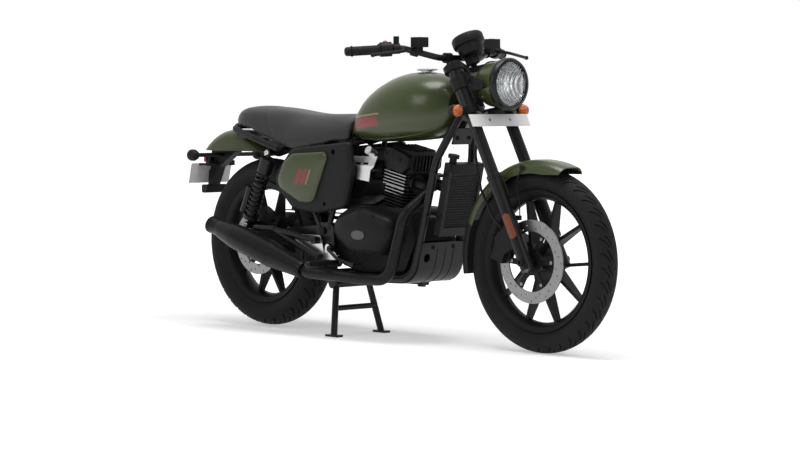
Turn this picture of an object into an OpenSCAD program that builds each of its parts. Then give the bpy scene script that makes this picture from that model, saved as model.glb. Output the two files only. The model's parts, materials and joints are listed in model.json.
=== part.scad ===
// Standard motorcycle, parked on its centre stand.
// Stations (x) run forward from the rear axle and heights (z) up from the floor, in millimetres.
// place() then shifts the whole machine so that its box stands centred on the origin.

/* [Chassis] */
// Distance between the two axles
wheelbase = 1369; // [1350:1:1390]
// Lean of the steering axis back from the vertical
rake = 27; // [26:0.5:28]
// Distance of the fork legs ahead of the steering axis
fork_offset = 45; // [42:1:48]
// Distance between the centres of the two fork legs
fork_spread = 180; // [176:1:190]
// Height of the rear tyre above the floor on the centre stand
rear_lift = 6; // [3:1:10]
// Diameter of the cradle tubes
cradle_d = 28; // [25:1:30]
// Diameter of the backbone tube
backbone_d = 46; // [40:1:48]
// Diameter of the seat rails
rail_d = 24; // [20:1:25]
// Reach of the number plate behind the rear axle
tail_overhang = 367; // [360:1:380]

/* [Wheels] */
// Outer diameter of the front tyre
front_tyre_d = 619; // [612:1:626]
// Width of the front tyre
front_tyre_w = 92; // [86:1:96]
// Bead seat diameter of the front wheel
front_rim_d = 457; // [450:1:462]
// Outer diameter of the rear tyre
rear_tyre_d = 624; // [616:1:630]
// Width of the rear tyre
rear_tyre_w = 124; // [116:1:128]
// Bead seat diameter of the rear wheel
rear_rim_d = 432; // [426:1:440]
// Diameter of the front brake disc
front_disc_d = 280; // [270:1:285]
// Diameter of the rear brake disc
rear_disc_d = 240; // [230:1:245]
// Thickness of the brake discs
disc_t = 5; // [4:0.5:6]
// Diameter of the front axle
front_axle_d = 17; // [15:1:20]
// Diameter of the rear axle
rear_axle_d = 20; // [17:1:22]
// Number of forked spokes in each wheel
spokes = 5; // [4:1:6]

/* [Bodywork] */
// Length of the fuel tank
tank_l = 447; // [440:1:450]
// Width of the fuel tank
tank_w = 272; // [262:1:280]
// Height of the top of the fuel tank
tank_top = 944; // [938:1:950]
// Width of the seat
seat_w = 256; // [250:1:262]
// Height of the seat at its lowest point
seat_low = 790; // [785:1:796]
// Height of the top of the pillion seat
seat_high = 822; // [812:1:830]
// Width of the front mudguard
front_fender_w = 124; // [120:1:128]
// Width of the rear mudguard
rear_fender_w = 136; // [128:1:138]
// Thickness of the mudguards
fender_t = 3; // [2:0.5:4]
// Outer diameter of the headlamp rim
lamp_d = 178; // [170:1:182]
// Diameter of the instrument
dial_d = 112; // [104:1:116]

/* [Engine] */
// Forward lean of the cylinder
cylinder_lean = 12; // [10:1:14]
// Distance from one cooling fin to the next
fin_pitch = 11; // [10:0.5:12]
// Thickness of a cooling fin
fin_t = 3.5; // [2.5:0.5:4.5]
// Outer diameter of the exhaust pipes
pipe_d = 40; // [36:1:42]
// Outer diameter of the silencers
muffler_d = 95; // [90:1:98]
// Width of the radiator
radiator_w = 166; // [158:1:168]
// Height of the radiator core
radiator_h = 190; // [180:1:200]

/* [Controls] */
// Distance between the tips of the handlebar
bar_span = 780; // [770:1:790]
// Diameter of the handlebar tube
bar_d = 22; // [20:0.5:24]
// Length of a handgrip
grip_l = 122; // [115:1:126]

/* [Suspension] */
// Diameter of the upper fork tubes
fork_tube_d = 41; // [38:1:43]
// Diameter of the fork sliders
slider_d = 48; // [46:1:50]
// Diameter of the fork shrouds between the yokes
shroud_d = 54; // [50:1:56]
// Outer diameter of the rear springs
spring_d = 54; // [50:1:56]
// Wire diameter of the rear springs
spring_wire_d = 8; // [6:0.5:9]
// Turns of each rear spring
spring_turns = 9; // [7:1:11]

/* [Hidden] */
$fn = 48;
// Gap between pieces that are bolted together
seat_gap = 0.3;
// Radial gap between a shaft and the bore that it turns in
run_gap = 0.05;

// Main places
front_axle_z = front_tyre_d / 2;
rear_axle_z = rear_tyre_d / 2 + rear_lift;
x_mid = (wheelbase + front_tyre_d / 2 - tail_overhang) / 2;
leg_y = fork_spread / 2;
pivot = [415, 378];
stand_pivot = [440, 186];
side_pivot = [690, 112, 193];
engine_base = [715, 470];
side_out = 150;
side_in = 126;

// Heights along the fork, measured from the front axle
slider_top = 310;
yoke_low = [545, 572];
yoke_high = [712, 734];
head_span = [588, 696];
bar_s = 784;

// Right half of the cradle, from the steering head to the pivot plate
down_tube = [[1030, -18, 838], [952, -88, 640], [858, -108, 228], [430, -108, 216]];
down_bends = [0, 80, 70, 0];
backbone = [[1040, 0, 835], [526, 0, 708]];
rail_y = 82;
rail_z = 716;
rail_rear = -90;
shock_top = [135, 655];
shock_low = [15, 385];
shock_y = 128;

// Helpers
function unit(v) = v / norm(v);
function turn(a, b) = acos(max(-1, min(1, a * b)));
function slope(p, i) = let (a = max(i - 1, 0), b = min(i + 1, len(p) - 1))
    (p[b][1] - p[a][1]) / (p[b][0] - p[a][0]);
function span_curve(x, p, i) = let (h = p[i + 1][0] - p[i][0], s = (x - p[i][0]) / h)
    p[i][1] * (2 * s ^ 3 - 3 * s ^ 2 + 1) + h * slope(p, i) * (s ^ 3 - 2 * s ^ 2 + s)
    + p[i + 1][1] * (3 * s ^ 2 - 2 * s ^ 3) + h * slope(p, i + 1) * (s ^ 3 - s ^ 2);
// Smooth curve through points [x, value]
function curve(x, p, i = 0) = i >= len(p) - 2 || x <= p[i + 1][0] ? span_curve(x, p, i) : curve(x, p, i + 1);
// Point of the fork frame: forward of the legs, sideways, and up along them
function fork_point(p) = [wheelbase + p.x * cos(rake) - p.z * sin(rake), p.y,
    front_axle_z + p.x * sin(rake) + p.z * cos(rake)];
// Arc of a circle in the plane, as points
function arc(c, r, from, to, steps = 8) = [for (i = [0:steps]) let (a = from + (to - from) * i / steps)
    [c.x + r * cos(a), c.y + r * sin(a)]];
// Closed outline that runs round circles [x, y, r] listed counter-clockwise
function round_outline(c, steps = 6) = let (n = len(c)) [for (i = [0:n - 1])
    let (p = c[(i + n - 1) % n], q = c[i], r = c[(i + 1) % n])
    each arc([q.x, q.y], q.z, tangent_angle(p, q), unwind(tangent_angle(q, r), tangent_angle(p, q)), steps)];
function tangent_angle(p, q) = let (d = norm([q.x - p.x, q.y - p.y]))
    atan2(q.y - p.y, q.x - p.x) - 90 + asin((p.z - q.z) / d);
function unwind(a, from) = a < from - 0.001 ? unwind(a + 360, from) : a;
function centre_of(c) = [for (k = [0, 1]) let (v = [for (p = c) p[k]]) (min(v) + max(v)) / 2];

module both() {
    children();
    mirror([0, 1, 0]) children();
}

module fork_frame() translate([wheelbase, 0, front_axle_z]) rotate([0, -rake, 0]) children();

module engine_frame() translate([engine_base.x, 0, engine_base.y]) rotate([0, cylinder_lean, 0]) children();

// Puts the child's z axis on the line from p to q, starting at p
module along(p, q) {
    d = q - p;
    translate(p) rotate([0, acos(d.z / norm(d)), atan2(d.y, d.x)]) children();
}

module rod(p, q, d) along(p, q) cylinder(h = norm(q - p), d = d);

// Round bar across the machine between two side stations
module cross_rod(x, z, y0, y1, d) translate([x, y0, z]) rotate([-90, 0, 0]) cylinder(h = y1 - y0, d = d);

// Revolves a profile of [radius, station] about a line across the machine; stations count to the right
module wheel_revolve(x, z) translate([x, 0, z]) rotate([90, 0, 0]) rotate_extrude($fn = 96) children();

// Extrudes an outline drawn in side view from y0 to y1
module side_extrude(y0, y1) translate([0, y1, 0]) rotate([90, 0, 0]) linear_extrude(y1 - y0) children();

// Centre line through corner points, rounded at each corner: [place, direction] pairs
function rounded_line(pts, r) = let (
    n = len(pts),
    dirs = [for (i = [0:n - 2]) unit(pts[i + 1] - pts[i])])
    concat([[pts[0], dirs[0]]],
        [for (i = [1:1:n - 2]) each corner_arc(pts[i], dirs[i - 1], dirs[i], r[i])],
        [[pts[n - 1], dirs[n - 2]]]);
function corner_arc(p, a, b, r) = let (
    t = turn(a, b),
    inward = unit(b - a * (a * b)),
    start = p - a * r * tan(t / 2),
    steps = max(2, round(t / 16)))
    [for (k = [0:steps]) let (u = t * k / steps)
        [start + inward * r * (1 - cos(u)) + a * r * sin(u), a * cos(u) + inward * sin(u)]];
// Carries a side direction along a line of directions without twisting it
function carry(line, side, i = 0, out = []) = i >= len(line) ? out :
    let (d = line[i][1], u = unit(side - d * (side * d))) carry(line, u, i + 1, concat(out, [u]));
function any_side(d) = abs(d.y) < 0.7 ? [0, 1, 0] : [1, 0, 0];

// Tube along corner points, with a bend radius for each point
module pipe(pts, d, r, sides = 16) {
    line = rounded_line(pts, r);
    side = carry(line, any_side(line[0][1]));
    loft([for (i = [0:len(line) - 1]) [for (k = [0:sides - 1]) let (a = 360 * k / sides)
        line[i][0] + d / 2 * (side[i] * cos(a) + cross(line[i][1], side[i]) * sin(a))]]);
}

// Skin through closed rings of equal length, whose outlines turn right-handed about the run of the rings
module loft(rings) {
    n = len(rings[0]);
    m = len(rings);
    polyhedron(points = [for (r = rings) each r],
        faces = concat([[for (i = [0:n - 1]) i]], [[for (i = [0:n - 1]) m * n - 1 - i]],
            [for (k = [0:m - 2], i = [0:n - 1]) let (j = (i + 1) % n) each
                [[k * n + i, (k + 1) * n + i, (k + 1) * n + j], [k * n + i, (k + 1) * n + j, k * n + j]]]));
}

// Pillow on the right side of the machine: an outline in side view that shrinks as it rises outwards
module pillow(c, y, steps) {
    o = round_outline(c);
    m = centre_of(o);
    loft([for (s = steps) [for (p = o) [m.x + (p.x - m.x) * s[0], y - s[1], m.y + (p.y - m.y) * s[0]]]]);
}

// Frame
pivot_plate_y = [107, 120];

module frame() color([0.06, 0.06, 0.065]) {
    difference() {
        union() {
            fork_frame() translate([-fork_offset, 0, head_span[0]]) cylinder(h = head_span[1] - head_span[0], d = 58);
            rod(backbone[0], backbone[1], backbone_d);
            both() pipe(down_tube, cradle_d, down_bends);
            both() rear_frame();
            cross_rod(526, rail_z, -rail_y, rail_y, rail_d);
            cross_rod(pivot.x - 15, 226, -pivot_plate_y[0] - 5, pivot_plate_y[0] + 5, 22);
            frame_gussets();
        }
        fork_frame() translate([-fork_offset, 0, head_span[0] - 1])
            cylinder(h = head_span[1] - head_span[0] + 2, d = stem_d + 2 * run_gap);
        cross_rod(pivot.x, pivot.y, -200, 200, pivot_bolt_d + 2 * seat_gap);
    }
}

stem_d = 36;
pivot_bolt_d = 18;

// Plates, rails and lugs behind the engine
module rear_frame() {
    side_extrude(-pivot_plate_y[1], -pivot_plate_y[0]) polygon(round_outline(
        [[388, 226, 16], [462, 226, 16], [448, 384, 20], [400, 388, 20]]));
    rod([440, -117, 385], [526, -rail_y, rail_z], 20);
    rod([536, -rail_y, rail_z], [rail_rear, -rail_y, rail_z], rail_d);
    rod([400, -117, 385], [shock_top.x + 45, -rail_y, rail_z], 20);
    shock_lug();
    seat_posts();
    side_posts();
    engine_lugs();
    stand_lugs();
}

module shock_lug() {
    side_extrude(-rail_y - 9, -rail_y + 5) polygon(round_outline(
        [[shock_top.x, shock_top.y, 16], [grab_end.x, grab_end.y, 12], [grab_end.x, rail_z, 8], [shock_top.x - 26, rail_z, 8]]));
    cross_rod(shock_top.x, shock_top.y, -shock_y + 12 + seat_gap, -rail_y, 26);
    cross_rod(grab_end.x, grab_end.y, -grab_end_y + seat_gap, -rail_y, 15);
}

module seat_posts() for (x = [40, 470])
    translate([x, -rail_y, rail_z]) cylinder(h = seat_roof(x) - rail_z - 0.6, d = 18);

module side_posts() {
    cross_rod(330, rail_z - 42, -side_in + seat_gap, -rail_y, 12);
    translate([330 - 5, -rail_y - 4, rail_z - 42]) cube([10, 8, 42]);
    cross_rod(492, 588, -side_in + seat_gap, -94, 12);
}

module engine_lugs() for (x = [560, 800])
    translate([x - 14, -105, 222]) cube([28, 105 - sump_y - seat_gap, 14]);

module stand_lugs() side_extrude(-104, -96) polygon(round_outline(
    [[stand_pivot.x, stand_pivot.y, 15], [stand_pivot.x + 22, 218, 10], [stand_pivot.x - 22, 222, 8]]));

module frame_gussets() {
    side_extrude(-6, 6) polygon([[1030, 836], [1036, 816], [996, 792], [930, 806]]);
    for (x = [640, 880]) cross_rod(x, backbone_z(x), -tank_tunnel_w / 2 + seat_gap, tank_tunnel_w / 2 - seat_gap, 20);
    difference() {
        translate([rail_rear + 4, -rail_y, rail_z - 20]) cube([28, 2 * rail_y, 30]);
        cross_rod(fender_c.x, fender_c.y, -200, 200, 2 * (fender_r + seat_gap));
    }
    difference() {
        translate([side_pivot.x - 15, side_pivot.y - 14, side_pivot.z - 13]) cube([30, 12, 34]);
        translate(side_pivot) side_stand_axis() cylinder(h = 80, d = 12.4, center = true);
    }
}

function backbone_z(x) = backbone[1].z + (x - backbone[1].x) * (backbone[0].z - backbone[1].z)
    / (backbone[0].x - backbone[1].x);

// Fuel tank
tank_rear = 545;
tank_tunnel_w = 70;
tank_shape_w = [[0, 0.7], [0.05, 0.8], [0.12, 0.88], [0.3, 0.97], [0.55, 1], [0.75, 0.94], [0.9, 0.74], [1, 0.5]];
tank_shape_top = [[0, -176], [0.04, -124], [0.14, -68], [0.32, -24], [0.48, -4], [0.62, 0], [0.74, -4], [0.87, -20], [1, -62]];
tank_shape_low = [[0, 716], [0.08, 702], [0.3, 700], [0.6, 708], [0.85, 724], [0.95, 750], [1, 782]];

function tank_ring(t) = let (
    x = tank_rear + t * tank_l,
    w = tank_w / 2 * curve(t, tank_shape_w),
    top = tank_top + curve(t, tank_shape_top),
    low = curve(t, tank_shape_low),
    belt = low + (top - low) * 0.42,
    roof = backbone_z(x) + backbone_d / 2 + 6,
    skin = [for (i = [0:32]) let (a = -78 + i * (180 + 156) / 32, e = sin(a) < 0 ? 3.2 : 2.3)
        [x, w * sign(cos(a)) * abs(cos(a)) ^ (2 / e), belt + (sin(a) < 0 ? belt - low : top - belt)
            * sign(sin(a)) * abs(sin(a)) ^ (2 / e)]])
    concat([[x, tank_tunnel_w / 2, low]], skin,
        [[x, -tank_tunnel_w / 2, low], [x, -tank_tunnel_w / 2, roof], [x, tank_tunnel_w / 2, roof]]);

module fuel_tank() color([0.19, 0.25, 0.11]) loft([for (i = [0:22]) tank_ring(0.5 - 0.5 * cos(180 * i / 22))]);

cap_x = tank_rear + 0.62 * tank_l;
cap_z = tank_top + seat_gap;
module fuel_cap() color([0.75, 0.75, 0.77]) translate([cap_x, 0, cap_z]) rotate_extrude()
    polygon([[0, 0], [24, 0], [24, 4], [36, 5], [39, 7], [38, 9.5], [30, 12], [12, 13.5], [0, 14]]);

// Seat
seat_rear = -118;
seat_front = 538;
seat_shape_w = [[0, 0.5], [0.03, 0.66], [0.1, 0.86], [0.3, 0.96], [0.6, 1], [0.85, 0.95], [1, 0.89]];
seat_shape_top = [[0, -0.5], [0.03, 0.6], [0.07, 0.92], [0.12, 1], [0.2, 0.9], [0.38, 0.6], [0.57, 0.12], [0.7, 0],
    [0.85, 0.03], [1, 0.08]];
seat_shape_skirt = [[0, 766], [0.125, 756], [0.28, 720], [0.44, 684], [0.52, 674], [0.76, 693], [1, 703]];
function seat_roof(x) = 757 - 22 * (x - seat_rear) / (seat_front - seat_rear);

function seat_ring(t) = let (
    x = seat_rear + t * (seat_front - seat_rear),
    w = seat_w / 2 * curve(t, seat_shape_w),
    top = seat_low + (seat_high - seat_low) * curve(t, seat_shape_top),
    skirt = curve(t, seat_shape_skirt),
    roof = max(skirt + 1, seat_roof(x)),
    inner = x < rail_rear - 5 ? w - 16 : max(w - 16, rail_y + rail_d / 2 + 2))
    concat([for (i = [0:24]) let (a = i * 180 / 24)
        [x, w * sign(cos(a)) * abs(cos(a)) ^ (2 / 3.4), skirt + (top - skirt) * abs(sin(a)) ^ (2 / 2.6)]],
        [[x, -inner, skirt], [x, -inner, roof], [x, inner, roof], [x, inner, skirt]]);

module seat() color([0.1, 0.1, 0.105]) loft([for (i = [0:22]) seat_ring(0.5 - 0.5 * cos(180 * i / 22))]);

// Tail
grab_end = [196, 668];
grab_end_y = 112;
grab_d = 24;

module grab_rail() color([0.12, 0.12, 0.125]) {
    both() {
        pipe([[grab_end.x, -grab_end_y - 27, grab_end.y], [62, -138, 706], [-74, -116, 738], [-132, -50, 750], [-132, 0.5, 750]],
            grab_d, [0, 60, 50, 50, 0]);
        cross_rod(grab_end.x, grab_end.y, -grab_end_y - 32, -grab_end_y, 16);
    }
}

fender_c = [-160, 510];
fender_r = 226;
module fender_profile(w, t, skirt) {
    c = 40;
    polygon(concat([[-skirt, -w / 2]], arc([-c, -w / 2 + c], c, -90, 0, 5), arc([-c, w / 2 - c], c, 0, 90, 5),
        [[-skirt, w / 2], [-skirt, w / 2 - t]], arc([-c, w / 2 - c], c - t, 90, 0, 5),
        arc([-c, -w / 2 + c], c - t, 0, -90, 5), [[-skirt, -w / 2 + t]]));
}

module rear_fender() color([0.19, 0.25, 0.11]) intersection() {
    union() {
        translate([fender_c.x, 0, fender_c.y]) rotate([90, 0, 0]) rotate([0, 0, 62]) rotate_extrude(angle = 76)
            translate([fender_r, 0]) fender_profile(rear_fender_w, fender_t, 110);
        translate([fender_c.x, 0, fender_c.y]) rotate([90, 0, 0]) rotate([0, 0, 62])
            mirror([0, 1, 0]) rotate([-90, 0, 0]) linear_extrude(150)
            translate([fender_r, 0]) fender_profile(rear_fender_w, fender_t, 110);
    }
    translate([-400, -200, 655]) cube([700, 400, 200]);
}

plate_tilt = 14;
module plate_frame() translate([-tail_overhang, 0, 530]) rotate([0, plate_tilt, 0]) children();

module plate_bracket() color([0.06, 0.06, 0.065]) {
    intersection() {
        side_extrude(-17, 17) polygon([[-150, 760], [-330, 760], [-326, 620], [-348, 520], [-322, 516], [-286, 590], [-190, 650]]);
        cross_rod(fender_c.x, fender_c.y, -30, 30, 2 * (fender_r - fender_t - seat_gap));
    }
    both() cross_rod(lamp_rear.x, lamp_rear.y, -152, -10, 16);
    both() translate([lamp_rear.x, -163, lamp_rear.y]) rotate([0, -90, 0]) translate([0, 0, -24])
        rotate_extrude() polygon([[0, 0], [8, 1], [17, 8], [22, 20], [22, 34], [0, 34]]);
    both() cross_rod(-292, 606, -58, -10, 12);
    both() translate([-306, -64, 596]) cube([20, 14, 20]);
    difference() {
        union() {
            side_extrude(-50, 50) polygon(round_outline([[-340, 500, 8], [-326, 500, 8], [-326, 516, 8], [-340, 516, 8]]));
            side_extrude(-15, 15) polygon([[-352, 520], [-320, 506], [-318, 560], [-345, 580]]);
            translate([-333.7, -36, 612]) cube([20, 72, 26]);
            both() translate([-372, -64, 598]) cube([70, 14, 8]);
        }
        plate_frame() translate([-100 + seat_gap, -150, -40]) cube([102, 300, 200]);
    }
}
lamp_rear = [-260, 639];

module number_plate() color([0.85, 0.85, 0.84]) plate_frame() translate([0, -100, 0]) cube([2, 200, 78]);

module rear_lamps() {
    color([0.85, 0.35, 0.05]) both() translate([lamp_rear.x - 10 - seat_gap, -163, lamp_rear.y]) rotate([0, -90, 0])
        rotate_extrude() polygon([[0, 0], [20, 0], [20, 6], [15, 12], [8, 15], [0, 16]]);
    color([0.5, 0.03, 0.03]) translate([-346, -40, 610]) cube([12, 80, 30]);
}

// Side covers
cover_outline = [[232, 560, 50], [300, 512, 60], [400, 492, 52], [524, 500, 40], [566, 600, 22], [560, 682, 16],
    [288, 638, 36]];
panel_outline = [[252, 558, 42], [338, 522, 44], [370, 520, 42], [449, 642, 20], [300, 612, 42], [260, 604, 27]];

// Pressed plate between the front tubes, above the radiator
module tube_plate() color([0.07, 0.07, 0.075]) difference() {
    translate([996, 0, 722]) rotate([0, 21.5, 0]) translate([-3, -46, -30]) cube([6, 92, 60]);
    both() pipe(down_tube, cradle_d + 2 * seat_gap, down_bends);
}

module side_covers() color([0.08, 0.08, 0.085]) both() difference() {
    pillow(cover_outline, -side_in, [[1, 0], [1, 10], [0.99, 16], [0.97, 20], [0.94, 23], [0.9, side_out - side_in]]);
    cross_rod(498, 662, -side_out - 1, -side_out + 12, 20);
    cross_rod(452, 476, -side_out - 1, -side_out + 12, 14);
}

module side_panels() color([0.19, 0.25, 0.11]) both()
    pillow(panel_outline, -side_out - seat_gap, [[1, 0], [1, 4], [0.98, 7], [0.94, 9.5], [0.86, 11.5], [0.7, 13], [0.4, 14]]);

// Engine
sump_y = 80;
case_y = 100;
case_outline = [[505, 400, 45], [520, 300, 45], [600, 268, 30], [790, 278, 30], [832, 360, 30], [800, 440, 30],
    [560, 446, 30]];
clutch_outline = [[545, 392, 48], [610, 352, 48], [720, 352, 48], [752, 392, 52], [640, 424, 48]];

module crankcase() color([0.07, 0.07, 0.075]) {
    difference() {
        union() {
            side_extrude(-case_y, case_y) polygon(round_outline(case_outline));
            side_extrude(-sump_y, sump_y) polygon(round_outline([[560, 242, 20], [800, 242, 20], [812, 300, 20],
                [540, 300, 20]]));
            engine_frame() translate([-58, -68, -60]) cube([116, 136, 60]);
        }
        translate([440, 62, 300]) cube([120, 60, 145]);
        engine_frame() translate([-75, -85, 0]) cube([150, 170, 60]);
    }
    cross_rod(drive_x, drive_z, 40, chain_y - 3 - seat_gap, 24);
    both() pillow(clutch_outline, -case_y + 1,
        [[1, 0], [1, 30], [0.99, 40], [0.96, 50], [0.91, 58], [0.83, 65], [0.7, 70.5], [0.5, 74.5], [0.25, 76.5]]);
}

module fin(l, w, z, t, c = 12) translate([0, 0, z]) linear_extrude(t) polygon([[-l / 2 + c, -w / 2], [l / 2 - c, -w / 2],
    [l / 2, -w / 2 + c], [l / 2, w / 2 - c], [l / 2 - c, w / 2], [-l / 2 + c, w / 2], [-l / 2, w / 2 - c],
    [-l / 2, -w / 2 + c]]);

barrel_h = 76;
head_h = 58;
cover_h = 78;
fin_l = 124;
fin_w = 150;

module cylinder_barrel() color([0.05, 0.05, 0.055]) engine_frame() {
    translate([0, 0, seat_gap]) cylinder(h = barrel_h - seat_gap, d = 112);
    for (z = [6:fin_pitch:barrel_h - fin_t]) fin(fin_l - 8, fin_w - 10, z, fin_t);
}

port_z = 27;
port_y = 42;

module cylinder_head() color([0.06, 0.06, 0.065]) engine_frame() translate([0, 0, barrel_h + seat_gap]) {
    fin(fin_l - 18, fin_w - 24, 0, head_h - seat_gap);
    for (z = [2:fin_pitch:head_h - fin_t]) fin(fin_l + 8, fin_w + 8, z, fin_t);
    both() translate([40, -port_y, port_z]) rotate([0, 90, 0]) cylinder(h = 34, d = 48);
}

hex_outline = [[-40, 150, 12], [34, 146, 12], [50, 162, 12], [48, 190, 12], [-28, 202, 12], [-52, 184, 14]];

module head_cover() color([0.06, 0.06, 0.065]) engine_frame() {
    z0 = barrel_h + head_h + seat_gap;
    translate([0, 0, z0]) fin(fin_l - 4, fin_w - 14, 0, cover_h, 22);
    for (y = [-48:16:48]) translate([-50, y - 2.5, z0 + cover_h - 1]) cube([100, 5, 5]);
    for (y = [-48:16:48]) translate([fin_l / 2 - 6, y - 2.5, z0 + 8]) cube([12, 5, cover_h - 24]);
    both() pillow([for (c = hex_outline) [c.x, c.y - 134 + z0 - 4, c.z]], -fin_w / 2 + 8,
        [[1, 0], [1, 14], [0.96, 18], [0.9, 19]]);
}

intake_z = 596;
module intake() color([0.05, 0.05, 0.055]) {
    side_extrude(-66, 66) polygon(round_outline([[346, 470, 16], [440, 470, 16], [560, 520, 16], [572, 560, 25],
        [572, 655, 20], [346, 659, 16]]));
    rod([585, 0, intake_z], [620, 0, intake_z], 66);
    for (x = [590:9:612]) rod([x, 0, intake_z], [x + 4, 0, intake_z], 74);
    intersection() {
        rod([615, 0, intake_z], [720, 0, intake_z], 58);
        engine_frame() translate([-200 - fin_l / 2 - 4 - seat_gap, -60, 0]) cube([200, 120, 260]);
    }
    translate([622, -60, intake_z - 22]) cube([34, 120, 44]);
}

module key_switch() color([0.7, 0.7, 0.71]) {
    difference() {
        union() {
            side_extrude(-118, -115) polygon([[580, 568], [648, 560], [656, 600], [674, 612], [674, 616], [557, 616], [557, 604], [574, 596]]);
            translate([557, -118, 615]) rotate([-28, 0, 0]) cube([117, 3, 38]);
        }
        for (x = [574, 614]) translate([x, -140, 632]) rotate([-28, 0, 0]) cube([28, 60, 9]);
    }
    for (x = [618, 648]) cross_rod(x, 598, -116, -60 - seat_gap, 10);
    translate([648, -106, 664]) rotate([62, 0, 0]) cylinder(h = 34, d = 30, center = true);
}

// Exhaust
muffler_front = [385, -188, 238];
muffler_dir = [-cos(16), 0, sin(16)];
muffler_l = 530;

function port_point(d) = let (lx = 74 + d, lz = barrel_h + seat_gap + port_z)
    [engine_base.x + lx * cos(cylinder_lean) + lz * sin(cylinder_lean), -port_y,
        engine_base.y - lx * sin(cylinder_lean) + lz * cos(cylinder_lean)];

module exhaust_pipes() color([0.05, 0.05, 0.055]) both() {
    pipe([port_point(seat_gap), port_point(82), [858, -150, 450], [798, -166, 219],
        muffler_front - muffler_dir * 31, muffler_front + muffler_dir * 30],
        pipe_d, [0, 34, 70, 70, 60, 0]);
    along(port_point(seat_gap), port_point(20)) cylinder(h = 7, d = 62);
}

module mufflers() color([0.045, 0.045, 0.05]) both() {
    r = muffler_d / 2;
    difference() {
        along(muffler_front, muffler_front + muffler_dir) rotate_extrude($fn = 64)
            polygon([[0, 0], [r * 0.62, 0], [r * 0.66, 4], [r * 0.97, 165], [r, 170], [r, 345], [r * 0.96, 385],
                [r * 0.74, 462], [r * 0.66, 480], [r * 0.63, 510], [r * 0.68, 520], [r * 0.68, muffler_l],
                [0, muffler_l]]);
        along(muffler_front - muffler_dir, muffler_front) cylinder(h = 80, d = pipe_d + 2 * seat_gap);
        along(muffler_front + muffler_dir * (muffler_l - 70), muffler_front + muffler_dir * muffler_l)
            cylinder(h = 80, r = r * 0.52);
    }
    muffler_tab();
}

// Lug that carries the silencer on the footrest hanger
module muffler_tab() difference() {
    union() {
        translate([240, -154, 278]) cube([34, 154 - hanger_out - seat_gap, 44]);
        translate([240, -hanger_out - 5 - seat_gap, 318]) cube([34, 5, 44]);
    }
    cross_rod(257, 346, -160, -130, 8.6);
}

// Cooling
radiator_tilt = 12.7;
module radiator_frame() translate([975, 0, 502]) rotate([0, radiator_tilt, 0]) children();

module radiator() color([0.06, 0.06, 0.065]) {
    radiator_frame() {
        difference() {
            translate([-15, -radiator_w / 2, -radiator_h / 2 - 30]) cube([30, radiator_w, radiator_h + 66]);
            translate([8, -radiator_w / 2 + 12, -radiator_h / 2]) cube([10, radiator_w - 24, radiator_h]);
        }
        for (z = [-radiator_h / 2 + 5:9:radiator_h / 2 - 6]) translate([7, -radiator_w / 2 + 10, z])
            cube([5, radiator_w - 20, 3.5]);
        translate([-18, -radiator_w / 2 + 4, radiator_h / 2 + 10]) cube([36, radiator_w - 8, 24]);
        translate([-2, -58, radiator_h / 2 + 30]) cylinder(h = 26, d = 26);
        translate([-2, -58, radiator_h / 2 + 54]) cylinder(h = 12, d = 40);
    }
    difference() {
        both() for (z = [-70, 80]) radiator_frame() translate([-38, -108, z]) cube([30, 34, 8]);
        both() pipe(down_tube, cradle_d + 2 * seat_gap, down_bends);
    }
}

// Band that follows the cradle round the front of the sump
skid_gap = cradle_d / 2 + 0.4;
skid_t = 4;
skid_w = 214;
skid_rise = atan2(down_tube[1].z - down_tube[2].z, down_tube[1].x - down_tube[2].x);
skid_back = atan2(down_tube[2].z - down_tube[3].z, down_tube[2].x - down_tube[3].x);
skid_turn = skid_rise - skid_back;
skid_c = [down_tube[2].x, down_tube[2].z] + down_bends[2] / cos(skid_turn / 2)
    * [cos((skid_rise + skid_back + 180) / 2), sin((skid_rise + skid_back + 180) / 2)];

module skid_plate() color([0.13, 0.13, 0.135]) difference() {
    side_extrude(-skid_w / 2, skid_w / 2) skid_profile(skid_gap, skid_t, 78, 70);
    for (y = [-34, 6, 46]) side_extrude(y, y + 8) skid_profile(skid_gap + skid_t - 1.5, 6, 58, 30);
    translate([890, -74, 300]) rotate([0, 90, 0]) cylinder(h = 80, d = 30, center = true);
}

module skid_profile(gap, t, rise, run) {
    in = down_bends[2] + gap;
    out = in + t;
    up = [cos(skid_rise), sin(skid_rise)] * rise;
    back = -[cos(skid_back), sin(skid_back)] * run;
    a0 = skid_rise - 90;
    a1 = skid_back - 90;
    polygon(concat([skid_c + in * [cos(a0), sin(a0)] + up], arc(skid_c, in, a0, a1, 8), [skid_c + in * [cos(a1), sin(a1)] + back,
        skid_c + out * [cos(a1), sin(a1)] + back], arc(skid_c, out, a1, a0, 8), [skid_c + out * [cos(a0), sin(a0)] + up]));
}

// Rear suspension
arm_y = [84, 104];
function arm_outline(grow = 0) = [[0, rear_axle_z, 24 + grow], [pivot.x, pivot.y - 4, 20 + grow],
    [pivot.x - 10, pivot.y + 6, 16 + grow], [60, rear_axle_z + 32, 14 + grow]];

module swingarm() color([0.06, 0.06, 0.065]) difference() {
    union() {
        cross_rod(pivot.x, pivot.y, -arm_y[1], arm_y[1], 38);
        both() {
            side_extrude(-arm_y[1], -arm_y[0]) polygon(round_outline(arm_outline()));
            side_extrude(-arm_y[1], -arm_y[0]) polygon(round_outline([[shock_low.x - 20, rear_axle_z + 10, 10],
                [shock_low.x + 40, rear_axle_z + 10, 10], [shock_low.x, shock_low.y, 15]]));
            cross_rod(shock_low.x, shock_low.y, -shock_y + 12 + seat_gap, -arm_y[0], 24);
        }
        translate([340, -arm_y[0] - 2, 348]) cube([26, 2 * arm_y[0] + 4, 24]);
    }
    cross_rod(pivot.x, pivot.y, -200, 200, pivot_bolt_d + 2 * seat_gap);
    cross_rod(0, rear_axle_z, -200, 200, rear_axle_d + 2 * seat_gap);
}

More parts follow.
